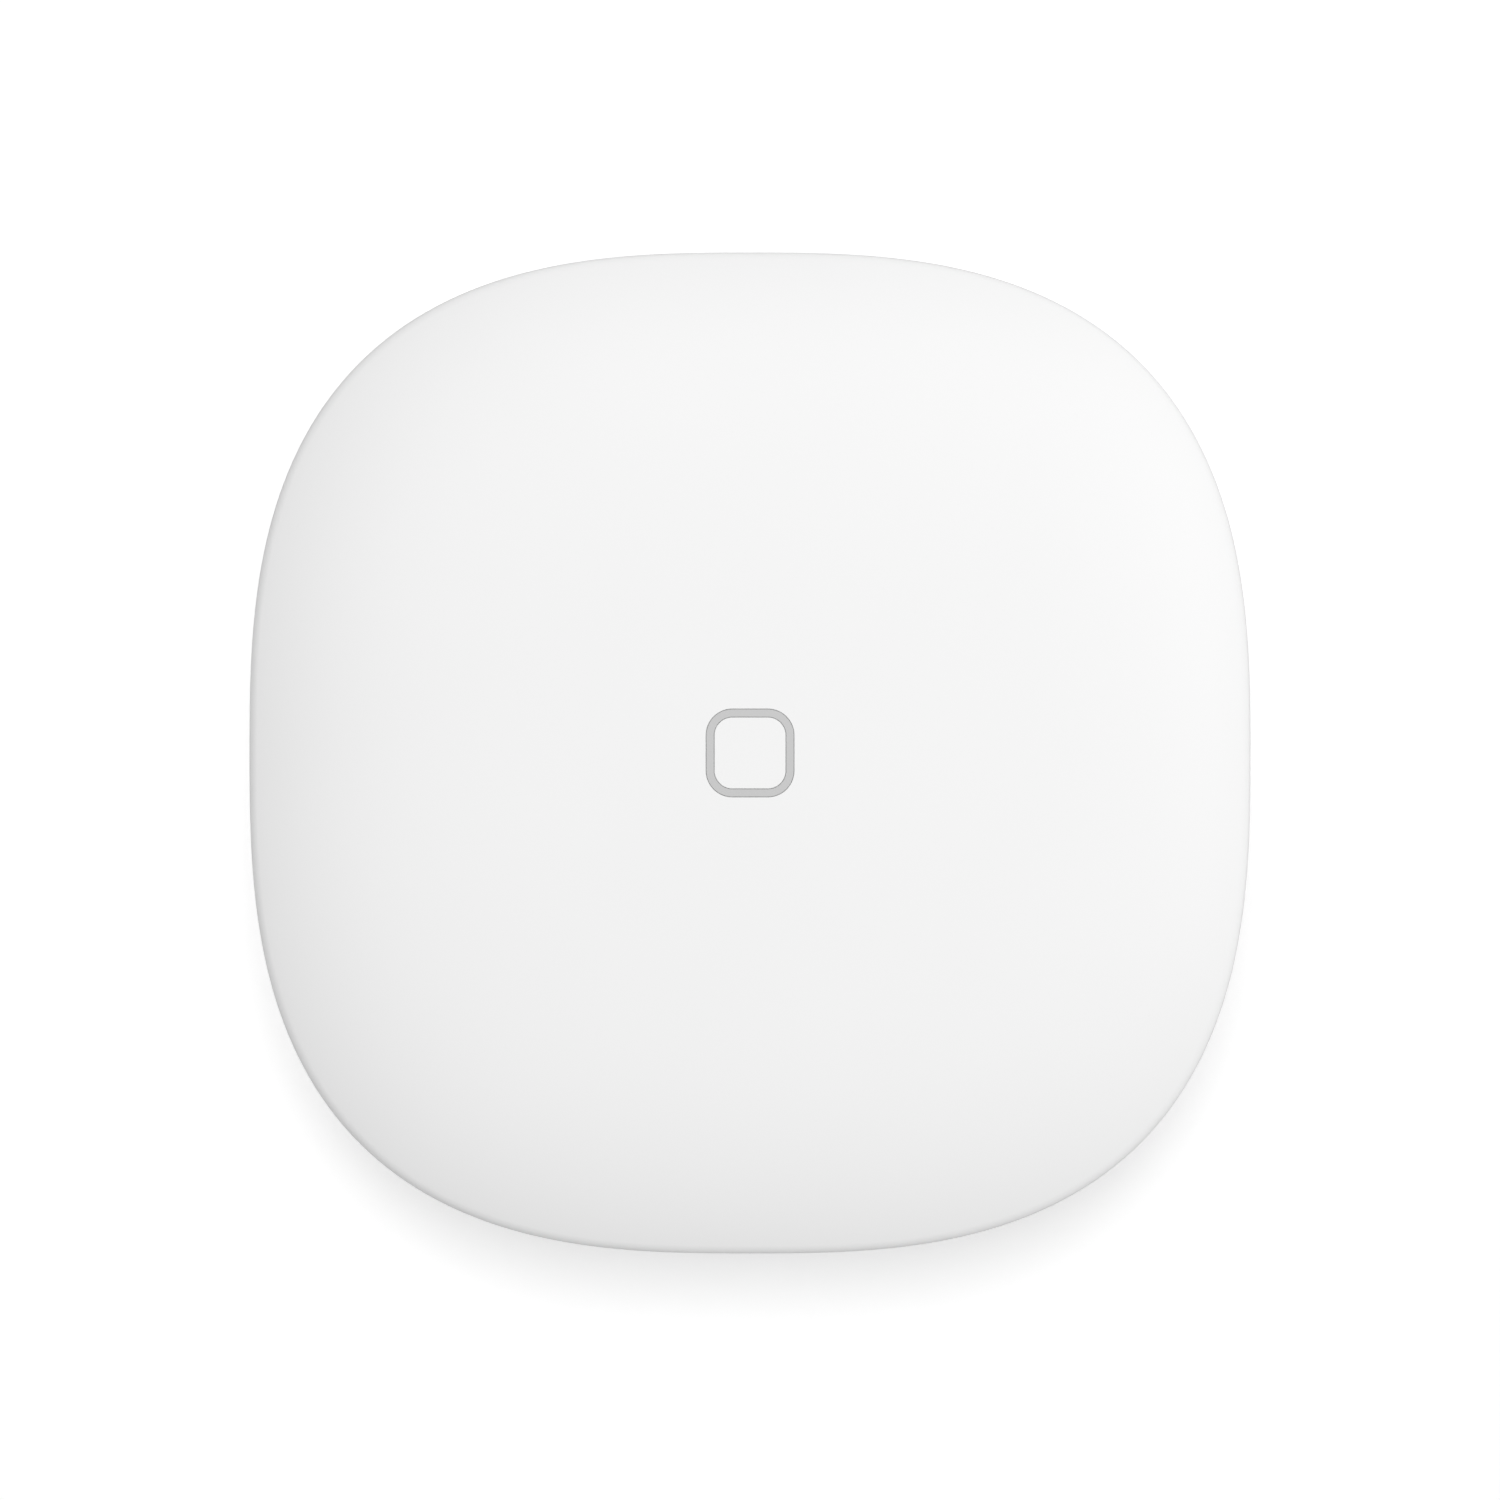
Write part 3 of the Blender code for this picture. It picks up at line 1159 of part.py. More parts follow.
main()
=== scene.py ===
# %% [markdown]
# # A smart home hub, dressed piece by piece
#
# The hub is a white puck: a squircle from above, a shallow dome from the side. In the middle of its face a
# push pad sits inside a ring that glows when the hub is busy. Two sockets and a reset button look out of
# the back, and four rubber feet and a ring of vents are underneath.
#
# The solid model and its joints are fixed. This lesson gives every piece the surface that the eye meets:
# fine mesh where a curve shows, and a material made of nodes everywhere.

import json
import math

import bmesh
import bpy
import numpy as np
from mathutils import Matrix, Vector

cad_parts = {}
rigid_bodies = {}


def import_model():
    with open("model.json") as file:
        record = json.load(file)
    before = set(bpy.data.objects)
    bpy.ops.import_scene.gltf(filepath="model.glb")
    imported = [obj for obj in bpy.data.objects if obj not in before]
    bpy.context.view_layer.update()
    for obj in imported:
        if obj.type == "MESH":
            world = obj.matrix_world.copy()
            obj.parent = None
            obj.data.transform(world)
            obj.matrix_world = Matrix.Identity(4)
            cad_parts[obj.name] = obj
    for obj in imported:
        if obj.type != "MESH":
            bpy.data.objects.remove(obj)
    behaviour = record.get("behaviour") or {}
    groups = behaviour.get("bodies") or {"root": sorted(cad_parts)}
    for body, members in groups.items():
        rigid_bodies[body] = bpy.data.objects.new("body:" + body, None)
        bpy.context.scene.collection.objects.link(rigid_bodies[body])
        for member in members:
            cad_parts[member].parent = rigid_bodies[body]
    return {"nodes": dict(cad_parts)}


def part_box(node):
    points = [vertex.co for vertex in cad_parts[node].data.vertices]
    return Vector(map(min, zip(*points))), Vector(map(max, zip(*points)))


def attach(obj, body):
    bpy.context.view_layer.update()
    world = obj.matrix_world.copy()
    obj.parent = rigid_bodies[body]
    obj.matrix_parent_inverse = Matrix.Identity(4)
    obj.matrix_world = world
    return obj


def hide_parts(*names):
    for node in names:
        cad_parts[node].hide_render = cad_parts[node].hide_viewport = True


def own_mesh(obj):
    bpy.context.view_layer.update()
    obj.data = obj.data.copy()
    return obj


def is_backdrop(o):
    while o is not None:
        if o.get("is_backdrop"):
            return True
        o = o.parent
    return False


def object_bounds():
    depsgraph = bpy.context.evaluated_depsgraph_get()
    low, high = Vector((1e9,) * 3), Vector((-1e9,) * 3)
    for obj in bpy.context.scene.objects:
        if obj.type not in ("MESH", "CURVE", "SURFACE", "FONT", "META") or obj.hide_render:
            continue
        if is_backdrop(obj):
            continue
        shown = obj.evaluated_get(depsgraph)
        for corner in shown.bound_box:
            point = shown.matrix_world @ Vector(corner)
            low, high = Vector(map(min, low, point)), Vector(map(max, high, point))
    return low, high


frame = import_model()
CAD_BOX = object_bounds()

# %% [markdown]
# ## Sizes
#
# A finer piece has to sit exactly where the solid one sits. Its place could be typed in again, but two
# copies of a number drift apart, so the places are read from the frame's boxes. What a box can't tell, such
# as a wall's thickness or the power of a curve, is written once here.

# %% Sizes read from the frame, and the few that a box can't tell
MM = 0.001


def centre_of(name):
    """The middle of a solid's box."""
    return [(a + b) / 2 for a, b in zip(*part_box(name))]


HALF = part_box("top_cover")[1].x
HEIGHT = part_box("light_guide")[1].z
WALL = 2.2 * MM
FIT = 0.3 * MM
SLIDE_FIT = 0.12 * MM
HAIR = 0.035 * MM  # what is left open between pieces that look flush
CORNER_CUT = 0.15 * MM  # small chamfer along the shells' free edges
LIP_HEIGHT, LIP_WIDTH, SPLIT_GAP = 1.4 * MM, 0.9 * MM, 0.4 * MM
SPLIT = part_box("bottom_case")[1].z - LIP_HEIGHT
LIP_TOP = SPLIT + LIP_HEIGHT
COVER_LOW = SPLIT + SPLIT_GAP / 2
EDGE_BAND = 3.6 * MM
EDGE_BASE = COVER_LOW + EDGE_BAND  # where the cover's edge starts to round over
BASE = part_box("bottom_case")[0].z
BASE_INSET = 18.5 * MM
BASE_HALF = HALF - BASE_INSET
FLANGE_LOW, FLANGE_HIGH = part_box("light_guide")
FLANGE_REACH, RING_LINE, RING_CORNER = 2.0 * MM, 1.0 * MM, 3.3 * MM
RING_HALF = FLANGE_HIGH.x - FLANGE_REACH
RING_INNER = RING_HALF - RING_LINE
CORNER_CENTRE = RING_HALF - RING_CORNER  # the corner arcs of ring, pad and well share it
print(f"hub {2 * HALF / MM:.1f} mm wide, {HEIGHT / MM:.1f} mm high, split at {SPLIT / MM:.2f} mm")

# %% [markdown]
# ## The plan
#
# A squircle is a superellipse: the sum of two powers of x and y stays the same along it. Rounding a square
# with arcs would be simpler, but the eye sees the jump in curvature where an arc meets a straight side. The
# ring and the pad are small and do have plain arcs. Both shapes are written as a reach in each direction,
# so that one can fade into the other on the same set of rays.

# %% Outlines as a reach in each direction
PLAN_POWER = 2.79


def rays(steps):
    angle = np.arange(steps) * math.tau / steps
    return np.cos(angle), np.sin(angle)


def squircle(half, steps):
    c, s = rays(steps)
    return half * (abs(c) ** PLAN_POWER + abs(s) ** PLAN_POWER) ** (-1 / PLAN_POWER)


def rounded_square(half, steps):
    c, s = (abs(part) for part in rays(steps))
    side = half / np.maximum(c, s)
    along = CORNER_CENTRE * (c + s)
    inside = along**2 - 2 * CORNER_CENTRE**2 + (half - CORNER_CENTRE) ** 2
    arc = along + np.sqrt(np.maximum(inside, 0))
    return np.where(side * np.minimum(c, s) <= CORNER_CENTRE, side, arc)


def circle(half, steps):
    return np.full(steps, half)


def plan_half(x, y):
    """Half width of the squircle that runs through a point."""
    return (abs(x) ** PLAN_POWER + abs(y) ** PLAN_POWER) ** (1 / PLAN_POWER)


print(f"corner to corner {2 * squircle(HALF, 8)[1] / MM:.1f} mm")

# %% [markdown]
# ## Skins
#
# Most pieces here are a stack of rings joined by four-sided faces, which shade more smoothly than a cut-up
# solid. A Screw modifier could turn a profile, but only round a circle. A stack takes any outline, and a
# different one at each height. A loop, whose last ring meets its first, is a piece with a hole through it.

# %% Rings into a mesh
def ring(reach, height, middle=(0, 0)):
    c, s = rays(len(reach))
    heights = np.broadcast_to(height, len(reach))
    return np.column_stack([middle[0] + reach * c, middle[1] + reach * s, heights])


def skin(rings, loop=False):
    """A closed mesh through rings that have the same number of points."""
    steps, count = len(rings[0]), len(rings)
    faces = []
    for i in range(count if loop else count - 1):
        a, b = i * steps, (i + 1) % count * steps
        faces += [(a + j, a + (j + 1) % steps, b + (j + 1) % steps, b + j) for j in range(steps)]
    if not loop:
        faces += [range(steps), range((count - 1) * steps, count * steps)]
    mesh = bpy.data.meshes.new("skin")
    mesh.from_pydata(np.concatenate(rings).tolist(), [], [tuple(face) for face in faces])
    bm = bmesh.new()
    bm.from_mesh(mesh)
    bmesh.ops.recalc_face_normals(bm, faces=bm.faces)
    bm.to_mesh(mesh)
    bm.free()
    return mesh


def turned(profile, outline=circle, steps=64, middle=(0, 0), loop=False):
    """A profile of (half, height) pairs carried round an outline."""
    return skin([ring(outline(half, steps), height, middle) for half, height in profile], loop)


def gathered(*meshes):
    """Several meshes as one."""
    bm = bmesh.new()
    for mesh in meshes:
        bm.from_mesh(mesh)
    mesh = bpy.data.meshes.new("gathered")
    bm.to_mesh(mesh)
    bm.free()
    return mesh


def moved(mesh, matrix):
    mesh.transform(matrix)
    return mesh


print("a test ring has", len(turned([(MM, 0), (MM, MM)]).polygons), "faces")

# %% [markdown]
# ## Blocks
#
# Sockets, fins and clips are blocks with softened edges. A plain cube shows no highlight along its edges
# and looks like paper, so each block is bevelled as it is made. Cutting tools are blocks too.

# %% Blocks, slots and cuts
def block(low, high, bevel=0.0, segments=2):
    """A box from corner to corner, its edges rounded by the bevel."""
    low, high = Vector(low), Vector(high)
    bm = bmesh.new()
    bmesh.ops.create_cube(bm, size=1)
    bmesh.ops.scale(bm, vec=high - low, verts=bm.verts)
    bmesh.ops.translate(bm, vec=(low + high) / 2, verts=bm.verts)
    if bevel:
        rounding = {"offset": bevel, "segments": segments, "profile": 0.5, "affect": "EDGES"}
        bmesh.ops.bevel(bm, geom=bm.edges, **rounding)
    mesh = bpy.data.meshes.new("block")
    bm.to_mesh(mesh)
    bm.free()
    return mesh


def slot_ring(width, depth, radius, height, corner=8):
    """A rectangle with round corners, centred on the axis."""
    points = []
    for quarter in range(4):
        diagonal = math.pi / 4 * (2 * quarter + 1)
        x = math.copysign(width / 2 - radius, math.cos(diagonal))
        y = math.copysign(depth / 2 - radius, math.sin(diagonal))
        for i in range(corner + 1):
            a = math.pi / 2 * (quarter + i / corner)
            points.append((x + radius * math.cos(a), y + radius * math.sin(a), height))
    return np.array(points)


def slot_prism(width, depth, radius, low, high, flare=0.0):
    """A slot between two heights, whose mouth at the low end opens out by the flare."""
    rings = [slot_ring(width, depth, radius, low + flare), slot_ring(width, depth, radius, high)]
    if flare:
        mouth = (width + 4 * flare, depth + 4 * flare, radius + 2 * flare)
        rings.insert(0, slot_ring(*mouth, low - flare))
    return skin(rings)


def as_piece(name, mesh):
    mesh.name = name
    piece = bpy.data.objects.new(name, mesh)
    bpy.context.scene.collection.objects.link(piece)
    return piece


def carve(piece, tool, operation="DIFFERENCE"):
    """An exact Boolean with a mesh that is thrown away afterwards."""
    other = as_piece("tool", tool)
    modifier = piece.modifiers.new("carve", "BOOLEAN")
    modifier.solver, modifier.operation, modifier.object = "EXACT", operation, other
    bpy.context.view_layer.update()
    graph = bpy.context.evaluated_depsgraph_get()
    shaped = bpy.data.meshes.new_from_object(piece.evaluated_get(graph))
    piece.modifiers.clear()
    piece.data = shaped
    bpy.data.objects.remove(other)


print("tools ready: skin, turned, block, slot_prism, carve")

# %% [markdown]
# ## Shader sums
#
# A material of nodes is a sum written as a drawing. Written as Python it is easier to read: a class wraps a
# socket, and each operator adds the Math node that works it out. Everything that isn't a sum, such as a
# noise or a bump, comes from the one method `node`.

# %% A socket that can be added and multiplied
class Wire:
    def __init__(self, tree, socket):
        self.tree, self.socket = tree, socket

    def node(self, kind, settings=(), values=(), out=0):
        """Adds a node: its settings, then the numbers or links of its sockets, and gives one output."""
        made = self.tree.nodes.new("ShaderNode" + kind)
        for name, value in dict(settings).items():
            setattr(made, name, value)
        for name, value in dict(values).items():
            if isinstance(value, Wire):
                self.tree.links.new(value.socket, made.inputs[name])
            else:
                made.inputs[name].default_value = value
        return Wire(self.tree, made.outputs[out])

    def sum(self, operation, *values):
        return self.node("Math", {"operation": operation}, enumerate(values))

    def __add__(self, other):
        return self.sum("ADD", self, other)

    def __sub__(self, other):
        return self.sum("SUBTRACT", self, other)

    def __rsub__(self, other):
        return self.sum("SUBTRACT", other, self)

    def __mul__(self, other):
        return self.sum("MULTIPLY", self, other)

    def __pow__(self, other):
        return self.sum("POWER", self, other)

    __radd__ = __add__
    __rmul__ = __mul__


def noise(where, size, detail=2.0):
    """Cloudy noise from 0 to 1 whose lumps are about this size, in metres."""
    return where.node("TexNoise", (), {"Vector": where, "Scale": 1 / size, "Detail": detail})


def stretched(where, *scale):
    """The place squeezed along each axis by these shares, so that patterns drawn over it stretch."""
    return where.node("Mapping", (), {"Vector": where, "Scale": scale})


def step_up(value, low, high):
    """0 below low, 1 above high, and a smooth rise between."""
    settings = {"interpolation_type": "SMOOTHSTEP"}
    return value.node("MapRange", settings, {"Value": value, "From Min": low, "From Max": high})


def blend(mask, first, second):
    """From the first colour to the second as the mask goes from 0 to 1."""
    return mask.node("Mix", {"data_type": "RGBA"}, {0: mask, 6: first, 7: second}, 2)


def bump(height, distance, strength=1.0):
    return height.node("Bump", (), {"Height": height, "Distance": distance, "Strength": strength})


def part_of(where, axis):
    return where.node("SeparateXYZ", (), {0: where}, "XYZ".index(axis))


def grey(level):
    return (level, level, level, 1.0)


def colour(red, green, blue):
    return (red, green, blue, 1.0)


FINISHES = {}


def begin(name):
    """An empty material, and the place on the piece that its patterns are drawn over."""
    material = bpy.data.materials.new(name)
    material.use_nodes = True
    tree = material.node_tree
    tree.nodes.clear()
    FINISHES[name] = material
    return Wire(tree, tree.nodes.new("ShaderNodeTexCoord").outputs["Object"])


def surface(where, **sockets):
    """Ends a material: every name is a socket of the Principled shader, with _ for a space."""
    values = {name.replace("_", " "): value for name, value in sockets.items()}
    shader = where.node("BsdfPrincipled", (), values)
    output = where.tree.nodes.new("ShaderNodeOutputMaterial")
    where.tree.links.new(shader.socket, output.inputs["Surface"])
    print("finish with", len(where.tree.nodes), "nodes")


# %% [markdown]
# ## Moulded white plastic
#
# The shells are satin white plastic. The mould was sparked to a fine grain, which breaks up the shine, and
# the plastic flowed into it in broad faint clouds. An image could carry the grain, but would have to be
# unwrapped; noise in space meets itself at every edge. Underneath, where the table rubs, the white is a
# touch greyer and shinier. Along the rim, where the edge starts to round over, a thin band is painted
# darker as painted shade, and that band is a little shinier too.

# %% Shell white
WHITE = 0.79


def moulded_white(name, level, grain_size, roughness):
    place = begin(name)
    clouds = noise(place, 26 * MM)
    grain = noise(place, grain_size, 3.0)
    specks = step_up(noise(place, 0.5 * MM, 1.0), 0.71, 0.76)
    scuffs = noise(stretched(place, 0.15, 1.0, 1.0), 0.5 * MM, 5.0)
    rubbed = (1 - step_up(part_of(place, "Z"), 1.1 * MM, 2.5 * MM)) * step_up(scuffs, 0.55, 0.75)
    # A thin band at the start of the round over is painted darker: painted shade along the rim, also a
    # little shinier.
    rim = part_of(place, "Z") - EDGE_BASE
    painted_rim_shade = step_up(rim, -0.6 * MM, 0.3 * MM) * (1 - step_up(rim, 0.3 * MM, 1.3 * MM))
    plain = blend(clouds, grey(level * 0.992), grey(level * 1.008))
    worn = blend(rubbed, blend(specks * 0.05, plain, grey(level * 0.8)), grey(level * 0.94))
    surface(
        place,
        Base_Color=blend(painted_rim_shade, worn, grey(level * 0.84)),
        Roughness=roughness + 0.07 * (grain - 0.5) - 0.08 * (rubbed + painted_rim_shade),
        Normal=bump(grain, 0.004 * MM, 0.5),
        Specular_IOR_Level=0.36,
    )


moulded_white("shell_white", WHITE, 0.16 * MM, 0.5)

# %% Pad and panel whites
moulded_white("pad_white", WHITE, 0.12 * MM, 0.5)
moulded_white("panel_white", WHITE * 0.97, 0.2 * MM, 0.5)

# %% [markdown]
# ## The ring's grey
#
# The light guide is milky grey polycarbonate. Real scattering would cost render time and says little when
# the lamps under it are off, so the milkiness is a colour, with faint flow lines from the mould, under a
# smoother surface than the shell's.

# %% Guide grey
place = begin("guide_grey")
milk = noise(place, 4 * MM, 3.0)
grain = noise(place, 0.1 * MM)
waves = {"Vector": place, "Scale": 900.0, "Distortion": 3.0}
flow = place.node("TexWave", {"bands_direction": "Z"}, waves, 1)
surface(
    place,
    Base_Color=blend(milk * 0.8 + flow * 0.2, grey(0.44), grey(0.47)),
    Roughness=0.34 + 0.06 * grain,
    Normal=bump(grain, 0.002 * MM, 0.4),
)

# %% [markdown]
# ## Rubber feet and the label
#
# A rubber foot is matt, speckled with moulding powder, and picks up dust on the face that touches the
# table. The label is silvery film, brushed in circles, with two printed borders and a few printed rules in
# place of words. Circles come from the distance to the axis, worked out from x and y.

# %% Foot rubber
place = begin("foot_rubber")
powder = noise(place, 0.3 * MM, 4.0)
near_table = 1 - step_up(part_of(place, "Z"), 0.0, 0.5 * MM)
dust = step_up(noise(place, 1.8 * MM, 5.0), 0.5, 0.72) * near_table
surface(
    place,
    Base_Color=blend(dust * 0.5, blend(powder, grey(0.17), grey(0.25)), grey(0.42)),
    Roughness=0.78 + 0.12 * powder,
    Normal=bump(powder, 0.03 * MM, 0.6),
    Specular_IOR_Level=0.3,
)


# %% Label film
def away(where):
    """Distance from the upright axis."""
    x, y = part_of(where, "X"), part_of(where, "Y")
    return (x * x + y * y) ** 0.5


def line(value, middle, width, soft=0.03 * MM):
    """1 inside a band of this width, 0 outside it, with a soft edge."""
    return 1 - step_up(value.sum("ABSOLUTE", value - middle), width / 2 - soft, width / 2 + soft)


place = begin("label_silver")
radius, across, up = away(place), part_of(place, "X"), part_of(place, "Y")
circles = {"W": radius, "Scale": 9000.0, "Detail": 2.0}
brushed = radius.node("TexNoise", {"noise_dimensions": "1D"}, circles)
mottle = noise(place, 3 * MM)
rules = line(up.sum("PINGPONG", up + 40 * MM, 2 * MM), 0.0, 0.5 * MM)
wide_rules = line(across, 0.0, 20 * MM) * line(up, 2 * MM, 10 * MM)
short_rules = line(across, -4 * MM, 12 * MM) * line(up, -6 * MM, 6 * MM)
borders = line(radius, 20.4 * MM, 0.3 * MM) + line(radius, 15.4 * MM, 0.15 * MM)
ink = borders + rules * (wide_rules + short_rules)
film = blend(brushed * 0.6 + mottle * 0.4, grey(0.62), grey(0.74))
surface(
    place,
    Base_Color=blend(ink, film, grey(0.12)),
    Metallic=0.55 - 0.55 * ink.sum("MINIMUM", ink, 1.0),
    Roughness=0.36 + 0.12 * brushed + 0.1 * mottle,
    Normal=bump(brushed, 0.004 * MM, 0.4),
)

# %% [markdown]
# ## Metals
#
# Four metals are inside: plated steel screws, tinned steel cans, gold-plated contacts and a bare aluminium
# spreader. A metal's colour is its reflection, so its life is in its roughness: fine scratches and a cloud
# of tarnish. One recipe makes them all.


# %% Metals
def metal(name, tone, dull, roughness, scratch_size, depth, pattern=None):
    """Plated or bare metal: a cloud of tarnish over fine scratches that run along X."""
    place = begin(name)
    scratches = noise(stretched(place, 0.08, 1.0, 1.0), scratch_size, 3.0)
    tarnish = step_up(noise(place, 2.4 * MM, 5.0), 0.42, 0.72)
    height = scratches
    tint = blend(tarnish, tone, dull)
    if pattern is not None:
        # The holes are painted near black: painted shade where the inside of each hole would be dark.
        painted_dark_holes = pattern(place)
        tint, height = blend(painted_dark_holes, tint, grey(0.03)), scratches * 0.2 + (1 - painted_dark_holes)
    surface(
        place,
        Base_Color=tint,
        Metallic=0.95 + 0.05 * scratches,
        Roughness=roughness + 0.14 * tarnish + 0.1 * (scratches - 0.5),
        Normal=bump(height, depth, 0.5),
    )


def vent_holes_painted_dark(place):
    """Rows of round holes on the top face of a shielding can, where the lid is painted near black as painted
    shade.
    """
    pitch, shift = 2.6 * MM, 52 * MM
    x, y = part_of(place, "X"), part_of(place, "Y")
    off_x, off_y = (v.sum("PINGPONG", v + shift, pitch / 2) for v in (x, y))
    facing = place.node("NewGeometry", (), (), 1)
    lid = step_up(part_of(facing, "Z"), 0.7, 0.9)
    return (1 - step_up((off_x * off_x + off_y * off_y) ** 0.5, 0.38 * MM, 0.46 * MM)) * lid


steel, gold, aluminium = colour(0.70, 0.69, 0.67), colour(0.90, 0.66, 0.27), colour(0.78, 0.78, 0.79)
metal("screw_steel", colour(0.62, 0.62, 0.60), colour(0.42, 0.42, 0.41), 0.27, 0.12 * MM, 0.004 * MM)
metal("shield_steel", steel, colour(0.55, 0.54, 0.52), 0.30, 0.10 * MM, 0.003 * MM)
metal("can_steel", steel, colour(0.58, 0.57, 0.55), 0.32, 0.15 * MM, 0.05 * MM, vent_holes_painted_dark)
metal("contact_gold", gold, colour(0.70, 0.48, 0.18), 0.22, 0.06 * MM, 0.002 * MM)
metal("spreader_aluminium", aluminium, colour(0.62, 0.62, 0.63), 0.36, 0.20 * MM, 0.008 * MM)

# %% [markdown]
# ## Black plastics
#
# The sockets are glass-filled nylon: near black, with pale fibres just under the skin. The chips are
# moulded epoxy, dark grey with a matt, slightly sandy face, and the antenna cables have a smooth jacket.
# The three differ only in tone, in how many fibres show, and in how coarse and dull the skin is.


# %% Black plastics
def black(name, tone, flecks, size, roughness):
    place = begin(name)
    sand = noise(place, size, 4.0)
    fibres = step_up(noise(stretched(place, 1.0, 0.2, 1.0), 0.12 * MM), 0.66, 0.72)
    skin_tone = blend(sand, grey(tone * 0.75), grey(tone * 1.3))
    surface(
        place,
        Base_Color=blend(fibres * flecks, skin_tone, grey(0.2)),
        Roughness=roughness + 0.16 * (sand - 0.5),
        Normal=bump(sand, 0.01 * MM, 0.5),
        Specular_IOR_Level=0.45,
    )


black("black_plastic", 0.018, 0.35, 0.14 * MM, 0.46)
black("chip_black", 0.03, 0.08, 0.07 * MM, 0.62)
black("cable_black", 0.022, 0.0, 0.3 * MM, 0.5)

# %% [markdown]
# ## The board
#
# A circuit board is green lacquer over copper. Where a track runs, the lacquer stands up a little and looks
# paler. Tracks keep to a few directions and run side by side, so stripes are drawn along X in some patches
# and along Y in others, with patches of plain copper pour between. A sprinkle of small gold rings are the
# plated holes.


# %% Board green
def tracks(place):
    """Stripes that change direction from patch to patch."""
    patch = {"feature": "F1", "distance": "CHEBYCHEV"}
    cell = place.node("TexVoronoi", patch, {"Vector": place, "Scale": 150.0, "Randomness": 0.8}, 1)
    pick = part_of(cell, "X")
    x, y = part_of(place, "X"), part_of(place, "Y")
    along, over = (line(v.sum("PINGPONG", v + 0.1, 0.4 * MM), 0.4 * MM, 0.34 * MM) for v in (x, y))
    either = blend(step_up(pick, 0.49, 0.5), over, along)
    has_tracks = step_up(part_of(cell, "Y"), 0.3, 0.31)
    return part_of(either, "X") * has_tracks, step_up(part_of(cell, "Z"), 0.72, 0.73)


def dots(place, size, inner, outer):
    scatter = {"Vector": place, "Scale": 1 / size, "Randomness": 0.9}
    near = place.node("TexVoronoi", {"feature": "F1"}, scatter)
    return step_up(near, inner, inner * 1.1) * (1 - step_up(near, outer, outer * 1.1))


place = begin("board_green")
copper, pour = tracks(place)
vias = dots(place, 2.4 * MM, 0.06, 0.13)
weave = noise(place, 0.5 * MM)
covered = copper.sum("MAXIMUM", copper, pour * 0.8)
lacquer = blend(covered, colour(0.004, 0.05, 0.018), colour(0.012, 0.13, 0.045))
woven = blend(weave * 0.3, lacquer, colour(0.01, 0.08, 0.03))
surface(
    place,
    Base_Color=blend(vias, woven, colour(0.85, 0.6, 0.22)),
    Metallic=vias,
    Roughness=0.28 + 0.12 * weave,
    Normal=bump(copper + vias * 0.5, 0.03 * MM, 0.6),
)

# %% [markdown]
# ## Antennas, pads and lamps
#
# The antenna boards are white-lacquered laminate with a folded copper track under the lacquer. The thermal
# pad is soft grey putty with ceramic powder in it. The lamps are small clear blocks over a yellow phosphor,
# and the two link lights on the network socket are tinted clear blocks, unlit.

# %% Antenna white
place = begin("antenna_white")
y, z = part_of(place, "Y"), part_of(place, "Z")
fold = line(y.sum("PINGPONG", y + 0.1, 1.5 * MM), 1.5 * MM, 1.0 * MM) * step_up(z, 10.5 * MM, 10.6 * MM)
bar = line(z, 16.6 * MM, 0.9 * MM)
copper = fold.sum("MAXIMUM", fold, bar)
weave = noise(place, 0.4 * MM, 3.0)
surface(
    place,
    Base_Color=blend(copper * 0.8, blend(weave, grey(0.66), grey(0.72)), colour(0.55, 0.42, 0.26)),
    Roughness=0.4 + 0.12 * weave,
    Normal=bump(copper * 0.8 + weave * 0.1, 0.03 * MM, 0.6),
)

# %% Thermal putty
place = begin("thermal_grey")
powder = noise(place, 0.25 * MM, 5.0)
grains = step_up(noise(place, 0.12 * MM), 0.6, 0.7)
putty = blend(powder, colour(0.3, 0.34, 0.37), colour(0.38, 0.42, 0.45))
surface(
    place,
    Base_Color=blend(grains * 0.4, putty, grey(0.6)),
    Roughness=0.72 + 0.14 * powder,
    Normal=bump(powder, 0.05 * MM, 0.6),
)


# %% Lamps and link lights
def lamp(name, edge, core, size, roughness):
    """A clear or tinted block with clouds of a second tone in it."""
    place = begin(name)
    swirl = noise(place, size, 3.0)
    haze = noise(place, 0.1 * MM)
    surface(
        place,
        Base_Color=blend(step_up(swirl, 0.35, 0.65), edge, core),
        Roughness=roughness + 0.1 * haze,
        Coat_Weight=0.4 + 0.2 * haze,
        Normal=bump(haze, 0.003 * MM, 0.4),
    )


lamp("led_white", grey(0.78), colour(0.85, 0.72, 0.22), 0.7 * MM, 0.25)
lamp("link_green", colour(0.10, 0.32, 0.12), colour(0.18, 0.48, 0.20), 1.2 * MM, 0.18)
lamp("link_amber", colour(0.50, 0.24, 0.05), colour(0.68, 0.38, 0.10), 1.2 * MM, 0.18)

# %% [markdown]
# ## Settling a piece
#
# Every new piece goes through the same steps: its faces shade smoothly except across real corners, it takes
# a finish, it rides on a body, and it is named after the solid it stands for, which is hidden.


# %% One way to finish a piece
def settle(name, mesh, finish, body="housing", crease=32):
    """Makes a mesh a piece of the hub, which stands for the solid of its own name."""
    piece = mesh if isinstance(mesh, bpy.types.Object) else as_piece(name, mesh)
    piece.name = piece.data.name = name + "_dressed"
    piece.data.materials.clear()
    piece.data.materials.append(FINISHES[finish])
    piece.data.polygons.foreach_set("use_smooth", [True] * len(piece.data.polygons))
    piece.data.set_sharp_from_angle(angle=math.radians(crease))
    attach(piece, body)
    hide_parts(name)
    print(f"{name}: {len(piece.data.polygons)} faces")
    return piece


